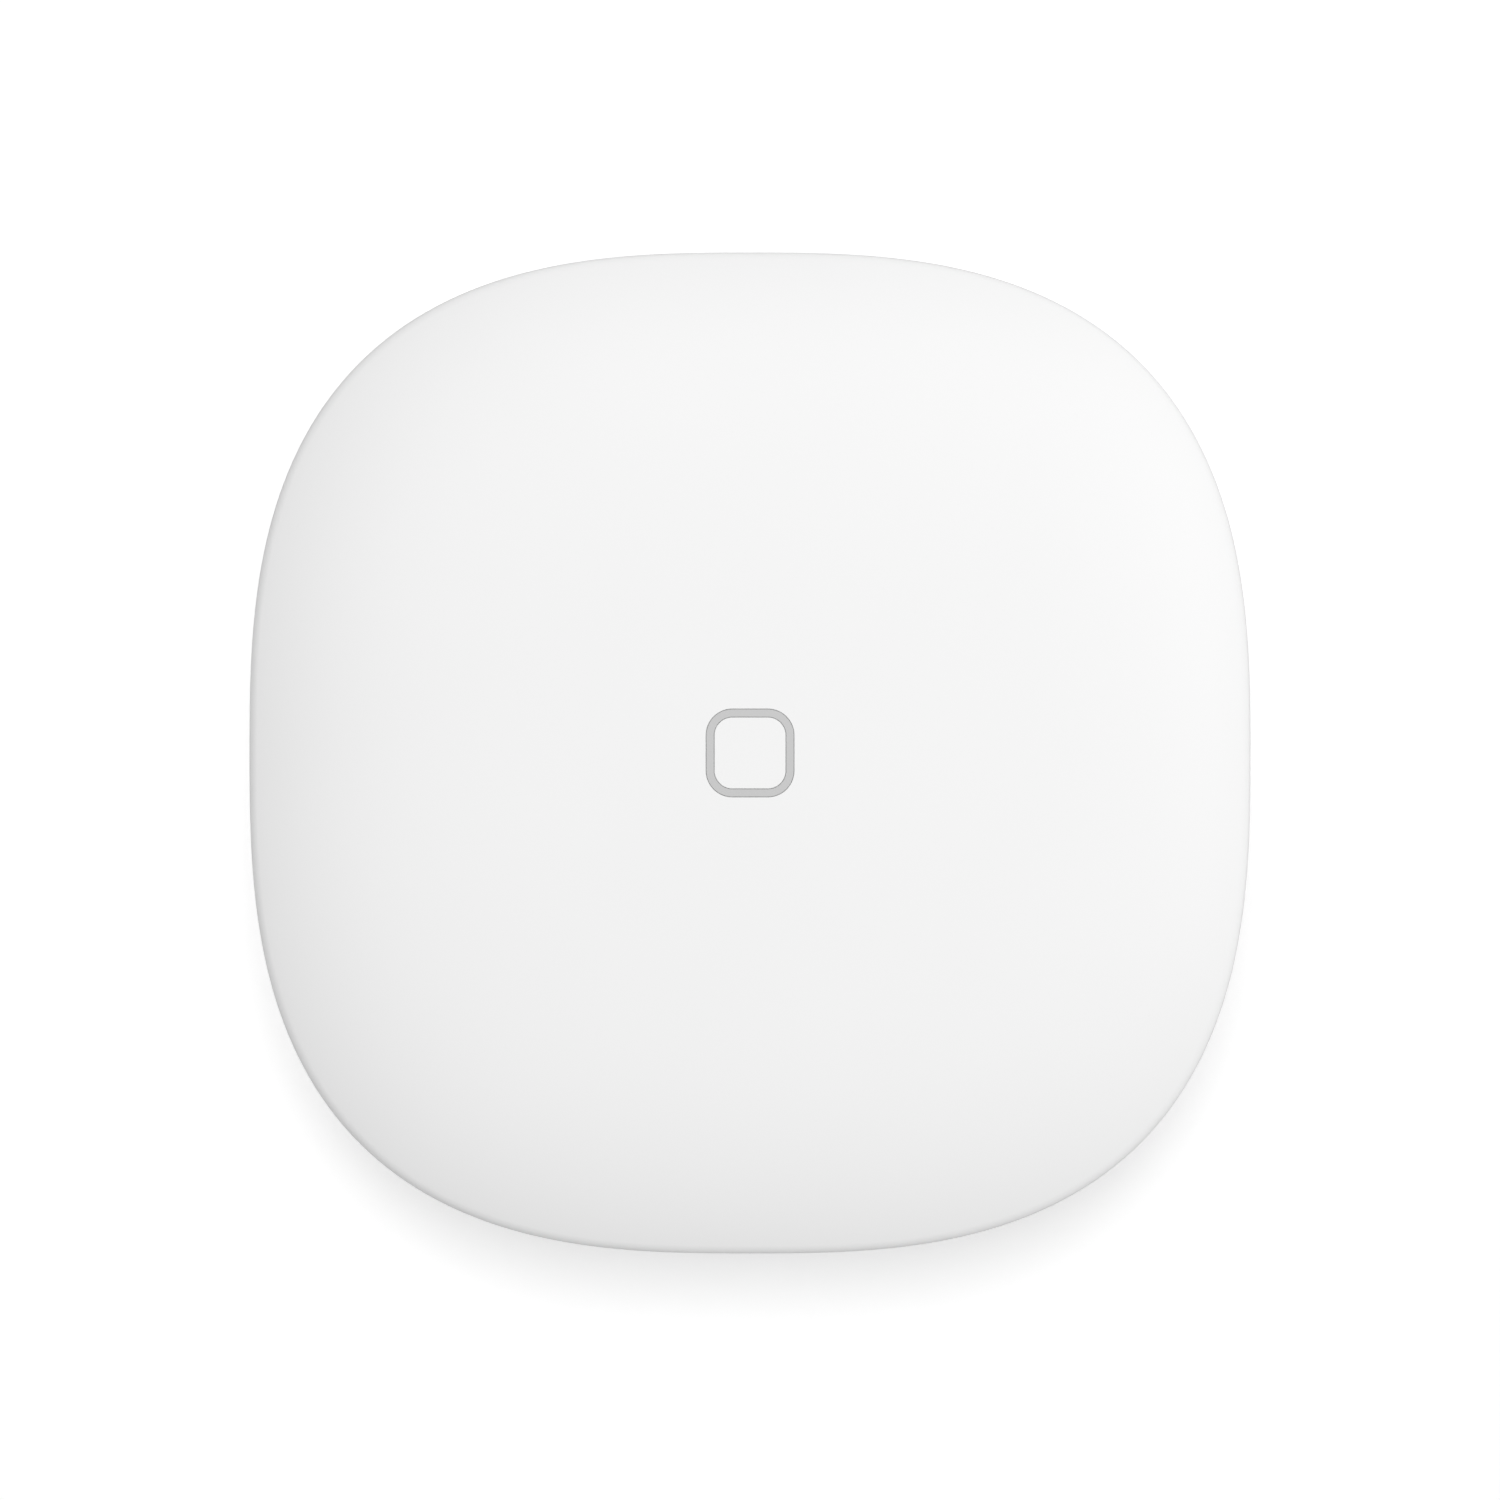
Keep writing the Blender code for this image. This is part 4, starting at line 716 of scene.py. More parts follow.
# %% [markdown]
# ## The cover
#
# The cover is one thin moulding: a face that is almost flat in the middle and falls away in its last few
# millimetres, a small round over, and a short upright band. A flat face with a filleted edge would show a
# ring of light where the two meet, so the dome is one power curve that meets the round over at its own
# slope. The rings fade from the rounded square of the well to the squircle of the rim, and each point takes
# its height from the dome under it. Inside, a collar drops round the light guide's flange.

# %% The dome's curve
EDGE_RADIUS, EDGE_SLOPE = 1.8 * MM, math.radians(22)
EDGE_TURN = math.pi / 2 - EDGE_SLOPE
DOME_HALF = HALF - EDGE_RADIUS * (1 - math.cos(EDGE_TURN))
DOME_RISE = HEIGHT - EDGE_BASE - EDGE_RADIUS * math.sin(EDGE_TURN)
DOME_POWER = math.tan(EDGE_SLOPE) * DOME_HALF / DOME_RISE


def dome(x, y):
    return HEIGHT - DOME_RISE * (plan_half(x, y) / DOME_HALF) ** DOME_POWER


print(f"the dome falls {DOME_RISE / MM:.2f} mm with power {DOME_POWER:.2f}")

# %% Rings that fade from the well to the rim
COVER_STEPS = 288
FADE_END = 22 * MM
WELL_HALF = RING_HALF + HAIR


def faded_reach(half):
    share = min(1.0, max(0.0, (half - WELL_HALF) / (FADE_END - WELL_HALF)))
    share = share * share * (3 - 2 * share)
    return (1 - share) * rounded_square(half, COVER_STEPS) + share * squircle(half, COVER_STEPS)


def dome_ring(half, drop=0.0):
    reach = faded_reach(half)
    c, s = rays(COVER_STEPS)
    return ring(reach, dome(reach * c, reach * s) - drop)


def rim_ring(half, height):
    return ring(squircle(half, COVER_STEPS), height)


def well_ring(half, height):
    return ring(rounded_square(half, COVER_STEPS), height)


# %% The cover's skin
DOME_RINGS, EDGE_RINGS, UNDER_RINGS = 44, 10, 20
UNDER_HALF = HALF - WALL
REBATE_HALF = UNDER_HALF + LIP_WIDTH + FIT
COLLAR_WALL, FLANGE_THICK, WELL_ROUND = 1.4 * MM, 1.2 * MM, 0.05 * MM
COLLAR_INNER = FLANGE_HIGH.x + FIT
COLLAR_OUTER = COLLAR_INNER + COLLAR_WALL
FLANGE_TOP = HEIGHT - WALL - DOME_RISE * (COLLAR_OUTER / DOME_HALF) ** DOME_POWER - FIT
FLANGE_BOTTOM = FLANGE_TOP - FLANGE_THICK
WELL_EDGE = WELL_HALF + WELL_ROUND

outside = [well_ring(WELL_HALF, HEIGHT - WELL_ROUND), dome_ring(WELL_EDGE)]
for i in range(1, DOME_RINGS + 1):
    outside.append(dome_ring(WELL_EDGE + (DOME_HALF - WELL_EDGE) * (i / DOME_RINGS)))
for i in range(1, EDGE_RINGS + 1):
    a = EDGE_TURN * (1 - i / EDGE_RINGS)
    half = HALF - EDGE_RADIUS * (1 - math.cos(a))
    outside.append(rim_ring(half, EDGE_BASE + EDGE_RADIUS * math.sin(a)))
outside += [rim_ring(HALF, COVER_LOW + CORNER_CUT), rim_ring(HALF - CORNER_CUT, COVER_LOW)]
inside = [rim_ring(REBATE_HALF, COVER_LOW)]
inside += [rim_ring(half, LIP_TOP + FIT) for half in (REBATE_HALF, UNDER_HALF)]
for i in range(UNDER_RINGS + 1):
    half = COLLAR_OUTER + (UNDER_HALF - COLLAR_OUTER) * (1 - i / UNDER_RINGS)
    inside.append(dome_ring(half, WALL))
inside += [well_ring(COLLAR_OUTER, FLANGE_BOTTOM), well_ring(COLLAR_INNER, FLANGE_BOTTOM)]
inside += [well_ring(COLLAR_INNER, FLANGE_TOP + FIT), well_ring(WELL_HALF, FLANGE_TOP + FIT)]
cover = as_piece("top_cover", skin(outside + inside, loop=True))
print("cover skin:", len(cover.data.polygons), "faces")

# %% [markdown]
# Four long screws come up through the case into bosses under the dome, and two short ones hold the light
# guide's retainer. Bosses are joined with a Boolean, because their tops end in the dome's underside at a
# slant.

# %% The cover's bosses
CORNERS = [(x, y) for x in (-1, 1) for y in (-1, 1)]
FOOT_AT = centre_of("foot_rear_right")[0]
RETAINER_X = centre_of("retainer_screw_right")[0]
BOSS_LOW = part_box("top_cover")[0].z
BOSS_RADIUS, SCREW_HOLE = 3.6 * MM, 1.8 * MM
SMALL_BOSS, SMALL_HOLE = 3.0 * MM, 1.45 * MM


def pegs(radius, low, high, places, steps=40):
    return gathered(*[turned([(radius, low), (radius, high)], circle, steps, place) for place in places])


def at_feet():
    return [(x * FOOT_AT, y * FOOT_AT) for x, y in CORNERS]


retainer_places = [(-RETAINER_X, 0), (RETAINER_X, 0)]
boss_top = dome(FOOT_AT, FOOT_AT) - WALL / 2
carve(cover, pegs(BOSS_RADIUS, BOSS_LOW, boss_top, at_feet()), "UNION")
carve(cover, pegs(SMALL_BOSS, FLANGE_BOTTOM, HEIGHT - WALL / 2, retainer_places), "UNION")
carve(cover, pegs(SCREW_HOLE, BOSS_LOW - MM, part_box("case_screw_1")[1].z + FIT, at_feet()))
carve(cover, pegs(SMALL_HOLE, FLANGE_BOTTOM - MM, HEIGHT - 0.75 * WALL, retainer_places))
collar_bore = [(COLLAR_INNER, FLANGE_BOTTOM - MM), (COLLAR_INNER, FLANGE_TOP + FIT)]
carve(cover, turned(collar_bore, rounded_square, 96))
settle("top_cover", cover, "shell_white")

# %% [markdown]
# ## The case
#
# The case is a bowl with a flat floor. Its side is a quarter of a superellipse, which leaves the table
# gently and ends upright at the split line. A lip stands inside the rim to line the shells up and to close
# the shadow gap. Everything else is added or cut with Booleans.

# %% The case's skin
SIDE_POWER, SIDE_RINGS = 2.5, 40
FLOOR = BASE + WALL
LAND = SPLIT - SPLIT_GAP / 2
LIP_HALF = HALF - WALL + LIP_WIDTH


def side(half, floor):
    """Rings of the side, from the flat floor up to the split line."""
    rings = []
    for i in range(SIDE_RINGS + 1):
        t = math.pi / 2 * i / SIDE_RINGS
        out, up = (abs(part) ** (2 / SIDE_POWER) for part in (math.sin(t), math.cos(t)))
        rings.append((BASE_HALF + (half - BASE_HALF) * out, SPLIT - (SPLIT - floor) * up))
    return rings


outer = [pair for pair in side(HALF, BASE) if pair[1] < LAND - CORNER_CUT]
profile = [*outer, (HALF - CORNER_CUT / 6, LAND - CORNER_CUT), (HALF - CORNER_CUT, LAND)]
profile += [(LIP_HALF, LAND), (LIP_HALF, LIP_TOP - CORNER_CUT)]
profile += [(LIP_HALF - CORNER_CUT, LIP_TOP), (HALF - WALL, LIP_TOP)]
profile += list(reversed(side(HALF - WALL, FLOOR)))
case = as_piece("bottom_case", turned(profile, squircle, COVER_STEPS))
print("case skin:", len(case.data.polygons), "faces")

# %% The case's pillars, bosses and antenna posts
BOARD_LOW, BOARD_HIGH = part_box("main_board")
BOARD_SCREWS = ["board_screw_" + where for where in ("left", "right", "front", "rear")]
board_places = [centre_of(name)[:2] for name in BOARD_SCREWS]
ROOT = FLOOR - WALL / 2
PILLAR_TOP = BOSS_LOW - FIT
PILLAR_RADIUS = 4.8 * MM
carve(case, pegs(PILLAR_RADIUS, ROOT, PILLAR_TOP, at_feet()), "UNION")
carve(case, pegs(SMALL_BOSS, ROOT, BOARD_LOW.z - FIT, board_places), "UNION")


def wall_reach(height, across):
    """How far the inside of the case reaches from the axis at this height, this far across."""
    up = (SPLIT - height) / (SPLIT - FLOOR)
    half = BASE_HALF + (HALF - WALL - BASE_HALF) * (1 - up**SIDE_POWER) ** (1 / SIDE_POWER)
    return (half**PLAN_POWER - abs(across) ** PLAN_POWER) ** (1 / PLAN_POWER)


POST_DROP, POST_GRIP, POST_WIDE = 1.4 * MM, 3 * MM, 3 * MM
for name in ("antenna_left", "antenna_right"):
    low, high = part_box(name)
    near, far = sorted((abs(low.x), abs(high.x)))
    sign, shelf = math.copysign(1, low.x), low.z - FIT
    for y in (low.y + POST_WIDE, high.y - POST_WIDE):
        outer_end = max(wall_reach(shelf - POST_DROP, y), far + FIT) + WALL / 2
        ends = sorted((sign * (near - FIT - WALL / 2), sign * outer_end))
        corner = (ends[0], y - POST_WIDE / 2, shelf - POST_DROP)
        carve(case, block(corner, (ends[1], y + POST_WIDE / 2, shelf + POST_GRIP)), "UNION")
    ends = sorted((sign * (near - FIT), sign * (far + FIT)))
    carve(case, block((ends[0], low.y - MM, shelf), (ends[1], high.y + MM, shelf + 2 * POST_GRIP)))

# %% The opening for the ports, and the pockets and holes
PANEL_LOW, PANEL_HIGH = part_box("port_panel")
PANEL_WIDE, PANEL_ROUND = 52 * MM, 2.2 * MM
PANEL_Z = centre_of("port_panel")[2]
PANEL_TALL = PANEL_HIGH.z - PANEL_LOW.z
PANEL_BACK, PANEL_STOP, OUTSIDE = 55.4 * MM, 4.4 * MM, 66 * MM
UPRIGHT = Matrix.Rotation(math.pi / 2, 4, "X")


def upright_slot(width, height, radius, front, back, x, z, flare=0.0):
    """A slot prism laid along Y, between two depths, about (x, z); its far mouth opens out by the flare."""
    prism = slot_prism(width, height, radius, -back, -front, flare)
    return moved(prism, Matrix.Translation((x, 0, z)) @ UPRIGHT)


grown = 2 * FIT
opening = (PANEL_WIDE + grown, PANEL_TALL + grown, PANEL_ROUND + FIT)
carve(case, upright_slot(*opening, PANEL_BACK - PANEL_STOP, OUTSIDE, 0, PANEL_Z))
FOOT_RADIUS = (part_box("foot_rear_right")[1].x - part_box("foot_rear_right")[0].x) / 2
LABEL_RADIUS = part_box("base_label")[1].x
FOOT_POCKET, LABEL_POCKET, HEAD_BORE, HEAD_SEAT = 0.9 * MM, 0.5 * MM, 3.1 * MM, 5.2 * MM
BELOW = BASE - 2 * MM
MOUTH_ROUND = 0.25 * MM


def pockets(radius, top, places, steps=72):
    """Round pockets in the underside whose mouths are broken by a small chamfer."""
    wide = radius + 2 * MOUTH_ROUND
    mouth = [(wide, BELOW), (wide, BASE - MOUTH_ROUND), (radius, BASE + MOUTH_ROUND)]
    return gathered(*[turned([*mouth, (radius, top)], circle, steps, place) for place in places])


carve(case, pockets(FOOT_RADIUS + FIT / 2, BASE + FOOT_POCKET, at_feet()))
carve(case, pegs(HEAD_BORE, BASE, HEAD_SEAT, at_feet()))
carve(case, pegs(SCREW_HOLE, BASE, PILLAR_TOP + MM, at_feet()))
carve(case, pegs(SMALL_HOLE, BASE + WALL / 2, BOARD_HIGH.z, board_places))
carve(case, pockets(LABEL_RADIUS + FIT / 2, BASE + LABEL_POCKET, [(0, 0)], 144))
print("case cut:", len(case.data.polygons), "faces")

# %% [markdown]
# Air passes through a ring of slots in the floor. Each slot is drawn once along X, flared at its mouth as a
# mould would leave it, and turned to its place. Slots that would cut a pillar or a screw's boss are left
# out.

# %% The vents
VENT_RADIUS, VENT_LONG, VENT_WIDE, VENTS = 32 * MM, 7 * MM, 1.8 * MM, 20
FOOT_GAP = FOOT_RADIUS + VENT_LONG / 2 + WALL
BOSS_GAP = 6.8 * MM


def clear_of(places, x, y, gap):
    return min(math.hypot(x - a, y - b) for a, b in places) > gap


slots = []
for i in range(VENTS):
    angle = math.tau * (i + 0.5) / VENTS
    x, y = VENT_RADIUS * math.cos(angle), VENT_RADIUS * math.sin(angle)
    if clear_of(at_feet(), x, y, FOOT_GAP) and clear_of(board_places, x, y, BOSS_GAP):
        slot = slot_prism(VENT_LONG, VENT_WIDE, VENT_WIDE * 0.499, BASE, FLOOR + MM, 0.15 * MM)
        slots.append(moved(slot, Matrix.Translation((x, y, 0)) @ Matrix.Rotation(angle, 4, "Z")))
carve(case, gathered(*slots))
settle("bottom_case", case, "shell_white")
print(len(slots), "vents")

# %% [markdown]
# ## The ring and the pad
#
# The light guide is a square tube that carries light from four lamps on the board up to the face. Its top
# is flush with the dome, and so close in its well that no dark line shows. The push pad fills the ring with
# the same hair's breadth. It is on the hub's button: hooked fins guide it in the tube, and a stem reaches
# the switch below.

# %% The light guide
RING_STEPS = 160
EDGE_ROUND = 0.06 * MM
RIB_DROP, RIB_REACH = 11 * MM, 0.5 * MM
RIB_TOP = HEIGHT - RIB_DROP
RIB_INNER = RING_INNER - RIB_REACH
profile = [(RING_INNER, HEIGHT - EDGE_ROUND), (RING_INNER + EDGE_ROUND, HEIGHT)]
profile += [(RING_HALF - EDGE_ROUND, HEIGHT), (RING_HALF, HEIGHT - EDGE_ROUND)]
profile += [(RING_HALF, FLANGE_TOP), (FLANGE_HIGH.x - FIT, FLANGE_TOP), (FLANGE_HIGH.x, FLANGE_TOP - FIT)]
profile += [(FLANGE_HIGH.x, FLANGE_BOTTOM), (RING_HALF, FLANGE_BOTTOM), (RING_HALF, FLANGE_LOW.z)]
profile += [(RING_INNER, FLANGE_LOW.z), (RING_INNER, RIB_TOP - MM), (RIB_INNER, RIB_TOP - MM)]
profile += [(RIB_INNER, RIB_TOP), (RING_INNER, RIB_TOP)]
settle("light_guide", turned(profile, rounded_square, RING_STEPS, loop=True), "guide_grey")

# %% The push pad
PAD_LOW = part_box("push_pad")[0].z
PAD_THICK, PAD_CUT = 1.6 * MM, 0.3 * MM
PAD_HALF = RING_INNER - HAIR
FIN_HALF, FIN_FOOT = 0.6 * MM, 1.6 * MM
STEM_RADIUS, STEM_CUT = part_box("button_plunger")[1].x, 0.2 * MM
FIN_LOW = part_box("button_spring")[1].z + SLIDE_FIT
under = HEIGHT - PAD_THICK
profile = [(PAD_HALF - PAD_CUT, under), (PAD_HALF, under + PAD_CUT), (PAD_HALF, HEIGHT - EDGE_ROUND)]
profile += [(PAD_HALF - EDGE_ROUND, HEIGHT), (PAD_HALF / 2, HEIGHT)]
pad = as_piece("push_pad", turned(profile, rounded_square, RING_STEPS))
for reach, top in ((RIB_INNER - FIT, under + PAD_THICK / 2), (PAD_HALF - FIT, FIN_LOW + FIN_FOOT)):
    for wide, deep in ((reach, FIN_HALF), (FIN_HALF, reach)):
        carve(pad, block((-wide, -deep, FIN_LOW), (wide, deep, top), 0.1 * MM), "UNION")
stem = [(STEM_RADIUS - STEM_CUT, PAD_LOW), (STEM_RADIUS, PAD_LOW + STEM_CUT)]
carve(pad, turned([*stem, (STEM_RADIUS, under + PAD_THICK / 4)]), "UNION")
settle("push_pad", pad, "pad_white", body="button")

# %% [markdown]
# ## The spring
#
# The pad comes back up on a small coil round its stem. One end of the coil stands still while the other
# moves with the pad; here the coil rides on the housing and gets its own copy of its mesh. It is a tube
# along a helix whose pitch closes at both ends, where a real coil is ground flat.

# %% The button's spring
SPRING_LOW, SPRING_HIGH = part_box("button_spring")
WIRE = 0.22 * MM
COIL = SPRING_HIGH.x - WIRE
TURNS, STEPS_PER_TURN = 5, 28


def tube(points, radius, sides=10):
    """A round tube along points, with closed ends."""
    points = np.array(points)
    rings, normal = [], None
    for i, point in enumerate(points):
        ahead = Vector(points[min(i + 1, len(points) - 1)] - points[max(i - 1, 0)]).normalized()
        if normal is None:
            normal = ahead.orthogonal().normalized()
        normal = (normal - ahead * normal.dot(ahead)).normalized()
        other = ahead.cross(normal)
        turn = [math.tau * k / sides for k in range(sides)]
        rings.append([Vector(point) + radius * (math.cos(t) * normal + math.sin(t) * other) for t in turn])
    return skin([np.array(ring_points) for ring_points in rings])


coil_points = []
for i in range(TURNS * STEPS_PER_TURN + 1):
    share = i / (TURNS * STEPS_PER_TURN)
    eased = share - math.sin(math.tau * share) / math.tau * 0.55
    angle = math.tau * TURNS * share
    height = SPRING_LOW.z + WIRE + (SPRING_HIGH.z - SPRING_LOW.z - 2 * WIRE) * eased
    coil_points.append((COIL * math.cos(angle), COIL * math.sin(angle), height))
spring = settle("button_spring", tube(coil_points, WIRE), "screw_steel", crease=60)
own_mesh(spring)

# %% [markdown]
# ## Underneath
#
# The feet are moulded pads with a soft edge and one shallow groove, glued over the case's screws. The label
# is a thin disc of film, sunk in its own pocket so that it isn't rubbed off.

# %% Feet and label
groove = [(3.0, 0), (3.15, 0.22), (3.45, 0.22), (3.6, 0)]
edge = [(0.6, 0), (0.25, 0.1), (0.06, 0.3), (0, 0.55)]
sole = [(half * MM, up * MM) for half, up in groove]
sole += [(FOOT_RADIUS - inset * MM, up * MM) for inset, up in edge]
for x, y in CORNERS:
    name = f"foot_{'rear' if y > 0 else 'front'}_{'right' if x > 0 else 'left'}"
    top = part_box(name)[1].z
    profile = [*sole, (FOOT_RADIUS, top - 0.1 * MM), (FOOT_RADIUS - 0.1 * MM, top)]
    settle(name, turned(profile, circle, 96, (x * FOOT_AT, y * FOOT_AT)), "foot_rubber", crease=50)

low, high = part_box("base_label")
profile = [(LABEL_RADIUS - 0.05 * MM, low.z), (LABEL_RADIUS, low.z + 0.05 * MM), (LABEL_RADIUS, high.z)]
settle("base_label", turned(profile, circle, 192), "label_silver")

# %% [markdown]
# ## The port panel
#
# The panel is a shallow tub let into the rear wall. Its rim follows the case, so it is cut out of the
# case's own curved solid, and its floor is flat, so that plugs seat squarely. Each opening has a small
# lead-in.

# %% The panel
ETHERNET_LOW, ETHERNET_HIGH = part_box("ethernet_shield")
PANEL_FACE = ETHERNET_HIGH.y + SLIDE_FIT
POWER_LOW, POWER_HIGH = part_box("power_jack")
RESET_LOW, RESET_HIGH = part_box("reset_button")
PANEL_WALL, LEAD = 1.4 * MM, 0.12 * MM
solid_panel = upright_slot(PANEL_WIDE, PANEL_TALL, PANEL_ROUND, PANEL_BACK, OUTSIDE, 0, PANEL_Z)
panel = as_piece("port_panel", solid_panel)
carve(panel, turned([*outer, (HALF, SPLIT)], squircle, COVER_STEPS), "INTERSECT")
bay_high = PANEL_HIGH.z - PANEL_WALL / 2
bay_low = PANEL_LOW.z + PANEL_WALL
bay = (PANEL_WIDE - 2 * PANEL_WALL, bay_high - bay_low, PANEL_ROUND / 2)
carve(panel, upright_slot(*bay, PANEL_FACE, OUTSIDE + 2 * MM, 0, (bay_low + bay_high) / 2))
for low, high, corner in ((ETHERNET_LOW, ETHERNET_HIGH, 0.3 * MM), (POWER_LOW, POWER_HIGH, 0.45 * MM)):
    size = high - low + 2 * SLIDE_FIT * Vector((1, 0, 1))
    middle = (low + high) / 2
    hole = upright_slot(size.x, size.z, corner, PANEL_BACK - MM, PANEL_FACE, middle.x, middle.z, LEAD)
    carve(panel, hole)
RESET_X, _, RESET_Z = centre_of("reset_button")
RESET_RADIUS = 1.7 * MM
bore = 2 * (RESET_RADIUS + SLIDE_FIT)
hole = (bore, bore, bore / 2 - 0.001 * MM)
carve(panel, upright_slot(*hole, PANEL_BACK - MM, PANEL_FACE, RESET_X, RESET_Z, LEAD))
CLIP_OVERLAP, CLIP_LOW, CLIP_HIGH = 0.7 * MM, 12 * MM, 16.5 * MM
clip_near = PANEL_BACK + 0.03 * MM
clip_far = clip_near + 1.2 * MM
for sign in (-1, 1):
    ends = sorted((sign * (PANEL_WIDE / 2 - CLIP_OVERLAP), sign * PANEL_HIGH.x))
    clip = block((ends[0], clip_near, CLIP_LOW), (ends[1], clip_far, CLIP_HIGH), 0.2 * MM)
    carve(panel, clip, "UNION")
settle("port_panel", panel, "panel_white")

# %% [markdown]
# ## The sockets
#
# The power inlet is a black block with a round bore and a centre pin, whose tip is rounded so that the plug
# finds it. The network socket is a folded steel shell round a black body, with eight gold springs that
# slope down from the roof of the mouth. The reset button is a small plunger sunk in the panel, dished so
# that a pen's tip stays on it.


# %% The power inlet
def along_y(mesh, x, z):
    """Turns a shape made about the upright axis to lie along Y, its top facing the back of the hub."""
    return moved(mesh, Matrix.Translation((x, 0, z)) @ Matrix.Rotation(-math.pi / 2, 4, "X"))


POWER_X, _, POWER_Z = centre_of("power_jack")
BORE, BORE_DEPTH, BORE_ROUND = 3.2 * MM, 9.5 * MM, 0.35 * MM
PIN_LOW, PIN_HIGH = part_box("power_pin")
inlet = as_piece("power_jack", block(POWER_LOW, POWER_HIGH, 0.4 * MM, 3))
flared = BORE + BORE_ROUND * 2
mouth = [(BORE, POWER_HIGH.y - BORE_DEPTH), (BORE, POWER_HIGH.y - BORE_ROUND)]
mouth += [(flared, POWER_HIGH.y + BORE_ROUND), (flared, POWER_HIGH.y + MM)]
carve(inlet, along_y(turned(mouth, circle, 96), POWER_X, POWER_Z))
pin_hole = [(1.3 * MM, POWER_LOW.y - MM), (1.3 * MM, POWER_HIGH.y - BORE_DEPTH + FIT)]
carve(inlet, along_y(turned(pin_hole, circle, 48), POWER_X, POWER_Z))
settle("power_jack", inlet, "black_plastic")

PIN = 1.0 * MM
tip = [(PIN * math.cos(t), PIN_HIGH.y - PIN + PIN * math.sin(t)) for t in np.linspace(0, 1.45, 8)]
pin = turned([(PIN * 0.8, PIN_LOW.y), (PIN, PIN_LOW.y + 0.2 * MM), *tip], circle, 48)
settle("power_pin", along_y(pin, POWER_X, POWER_Z), "shield_steel")

# %% The network socket's springs
COMB_LOW, COMB_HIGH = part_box("ethernet_contacts")
PITCH, LEAF = 1.02 * MM, 0.23 * MM
bar = block(COMB_LOW, (COMB_HIGH.x, COMB_LOW.y + 1.2 * MM, COMB_HIGH.z), 0.1 * MM)
comb = as_piece("ethernet_contacts", bar)
roof = COMB_HIGH.z - 0.35 * MM
bend = [(0.6, 0.0), (2.5, 0.0), (5.0, 0.0), (7.0, -0.05), (7.9, -0.3), (8.15, -0.75)]
bend += [(7.8, -1.15), (6.9, -1.5), (5.4, -2.1), (4.0, -2.65), (3.2, -2.9), (2.6, -2.85)]
for i in range(8):
    x = centre_of("ethernet_contacts")[0] + PITCH * (i - 3.5)
    points = [(x, COMB_LOW.y + y * MM, roof + z * MM) for y, z in bend]
    carve(comb, tube(points, LEAF * 0.9, 12), "UNION")
settle("ethernet_contacts", comb, "contact_gold", crease=50)

# %% The reset button
dish = [(1.2 * MM * (1 - k / 5), -0.22 * MM * (1 - (1 - k / 5) ** 2)) for k in range(5)]
flange = [(1.0, 0), (2.2, 0), (2.3, 0.1), (2.3, 0.8)]
profile = [(half * MM, RESET_LOW.y + up * MM) for half, up in flange]
profile += [(RESET_RADIUS, RESET_LOW.y + 0.8 * MM), (RESET_RADIUS, RESET_HIGH.y - 0.25 * MM)]
profile += [(1.62 * MM, RESET_HIGH.y - 0.07 * MM), (1.45 * MM, RESET_HIGH.y)]
profile += [(half, RESET_HIGH.y + drop) for half, drop in dish]
settle("reset_button", along_y(turned(profile, circle, 64), RESET_X, RESET_Z), "panel_white", body="reset")

# %% [markdown]
# ## Screws
#
# Twelve screws hold the hub together, in two sizes. Each is a turned pan head with a cross recess and a
# shank with ridges. A true thread is a helix, but rings of the same pitch look alike at this size and stay
# one clean solid.


# %% One screw, twelve times
CROWN_TURN = 1.15


def screw(name, radius, pitch, thick):
    """Fills a screw's box: a head of this thickness, and a shank whose ridges stand this pitch apart."""
    low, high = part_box(name)
    x, y, _ = centre_of(name)
    head, length = (high.x - low.x) / 2, high.z - low.z
    top, root = length - thick, radius * 0.82
    profile = [(radius * 0.3, 0), (radius * 0.8, 0.6 * MM)]
    for i in range(int((top - 1.4 * MM) / pitch)):
        z = 0.7 * MM + i * pitch
        profile += [(root, z), (radius, z + pitch * 0.45), (radius, z + pitch * 0.55)]
    profile += [(root, top - 0.5 * MM), (radius * 0.9, top)]
    profile += [(head * 0.98, top), (head, top + 0.12 * MM)]
    for t in CROWN_TURN * np.linspace(0.15, 1.0, 7):
        rise = 0.3 + 0.7 * math.sin(t) / math.sin(CROWN_TURN)
        profile.append((head * math.cos(t), top + thick * rise))
    piece = as_piece(name, turned(profile, circle, 40))
    arm, wide, cross = head * 0.56, head * 0.13, length - thick * 0.62
    for half_x, half_y in ((arm, wide), (wide, arm)):
        carve(piece, block((-half_x, -half_y, cross), (half_x, half_y, length + MM)))
    flip = Matrix.Identity(4)
    if not name.startswith(("board", "spreader")):
        flip = Matrix.Translation((0, 0, length)) @ Matrix.Rotation(math.pi, 4, "X")
    moved(piece.data, Matrix.Translation((x, y, low.z)) @ flip)
    settle(name, piece, "screw_steel")


for i in range(1, 5):
    screw(f"case_screw_{i}", 1.5 * MM, 1.1 * MM, 2.0 * MM)
RETAINER_SCREWS = ["retainer_screw_left", "retainer_screw_right"]
SPREADER_SCREWS = ["spreader_screw_front", "spreader_screw_rear"]
for name in BOARD_SCREWS + RETAINER_SCREWS + SPREADER_SCREWS:
    screw(name, 1.15 * MM, 0.8 * MM, 1.3 * MM)

# %% [markdown]
# ## Keeping the other solids
#
# Boards, cans, chips and brackets are flat-sided and right as they stand. They keep their solids and gain a
# worn edge and a finish. The frame's meshes may not be touched, so the edge is a modifier: Weld first,
# because the frame's triangles don't share corners, then Bevel on real corners only.

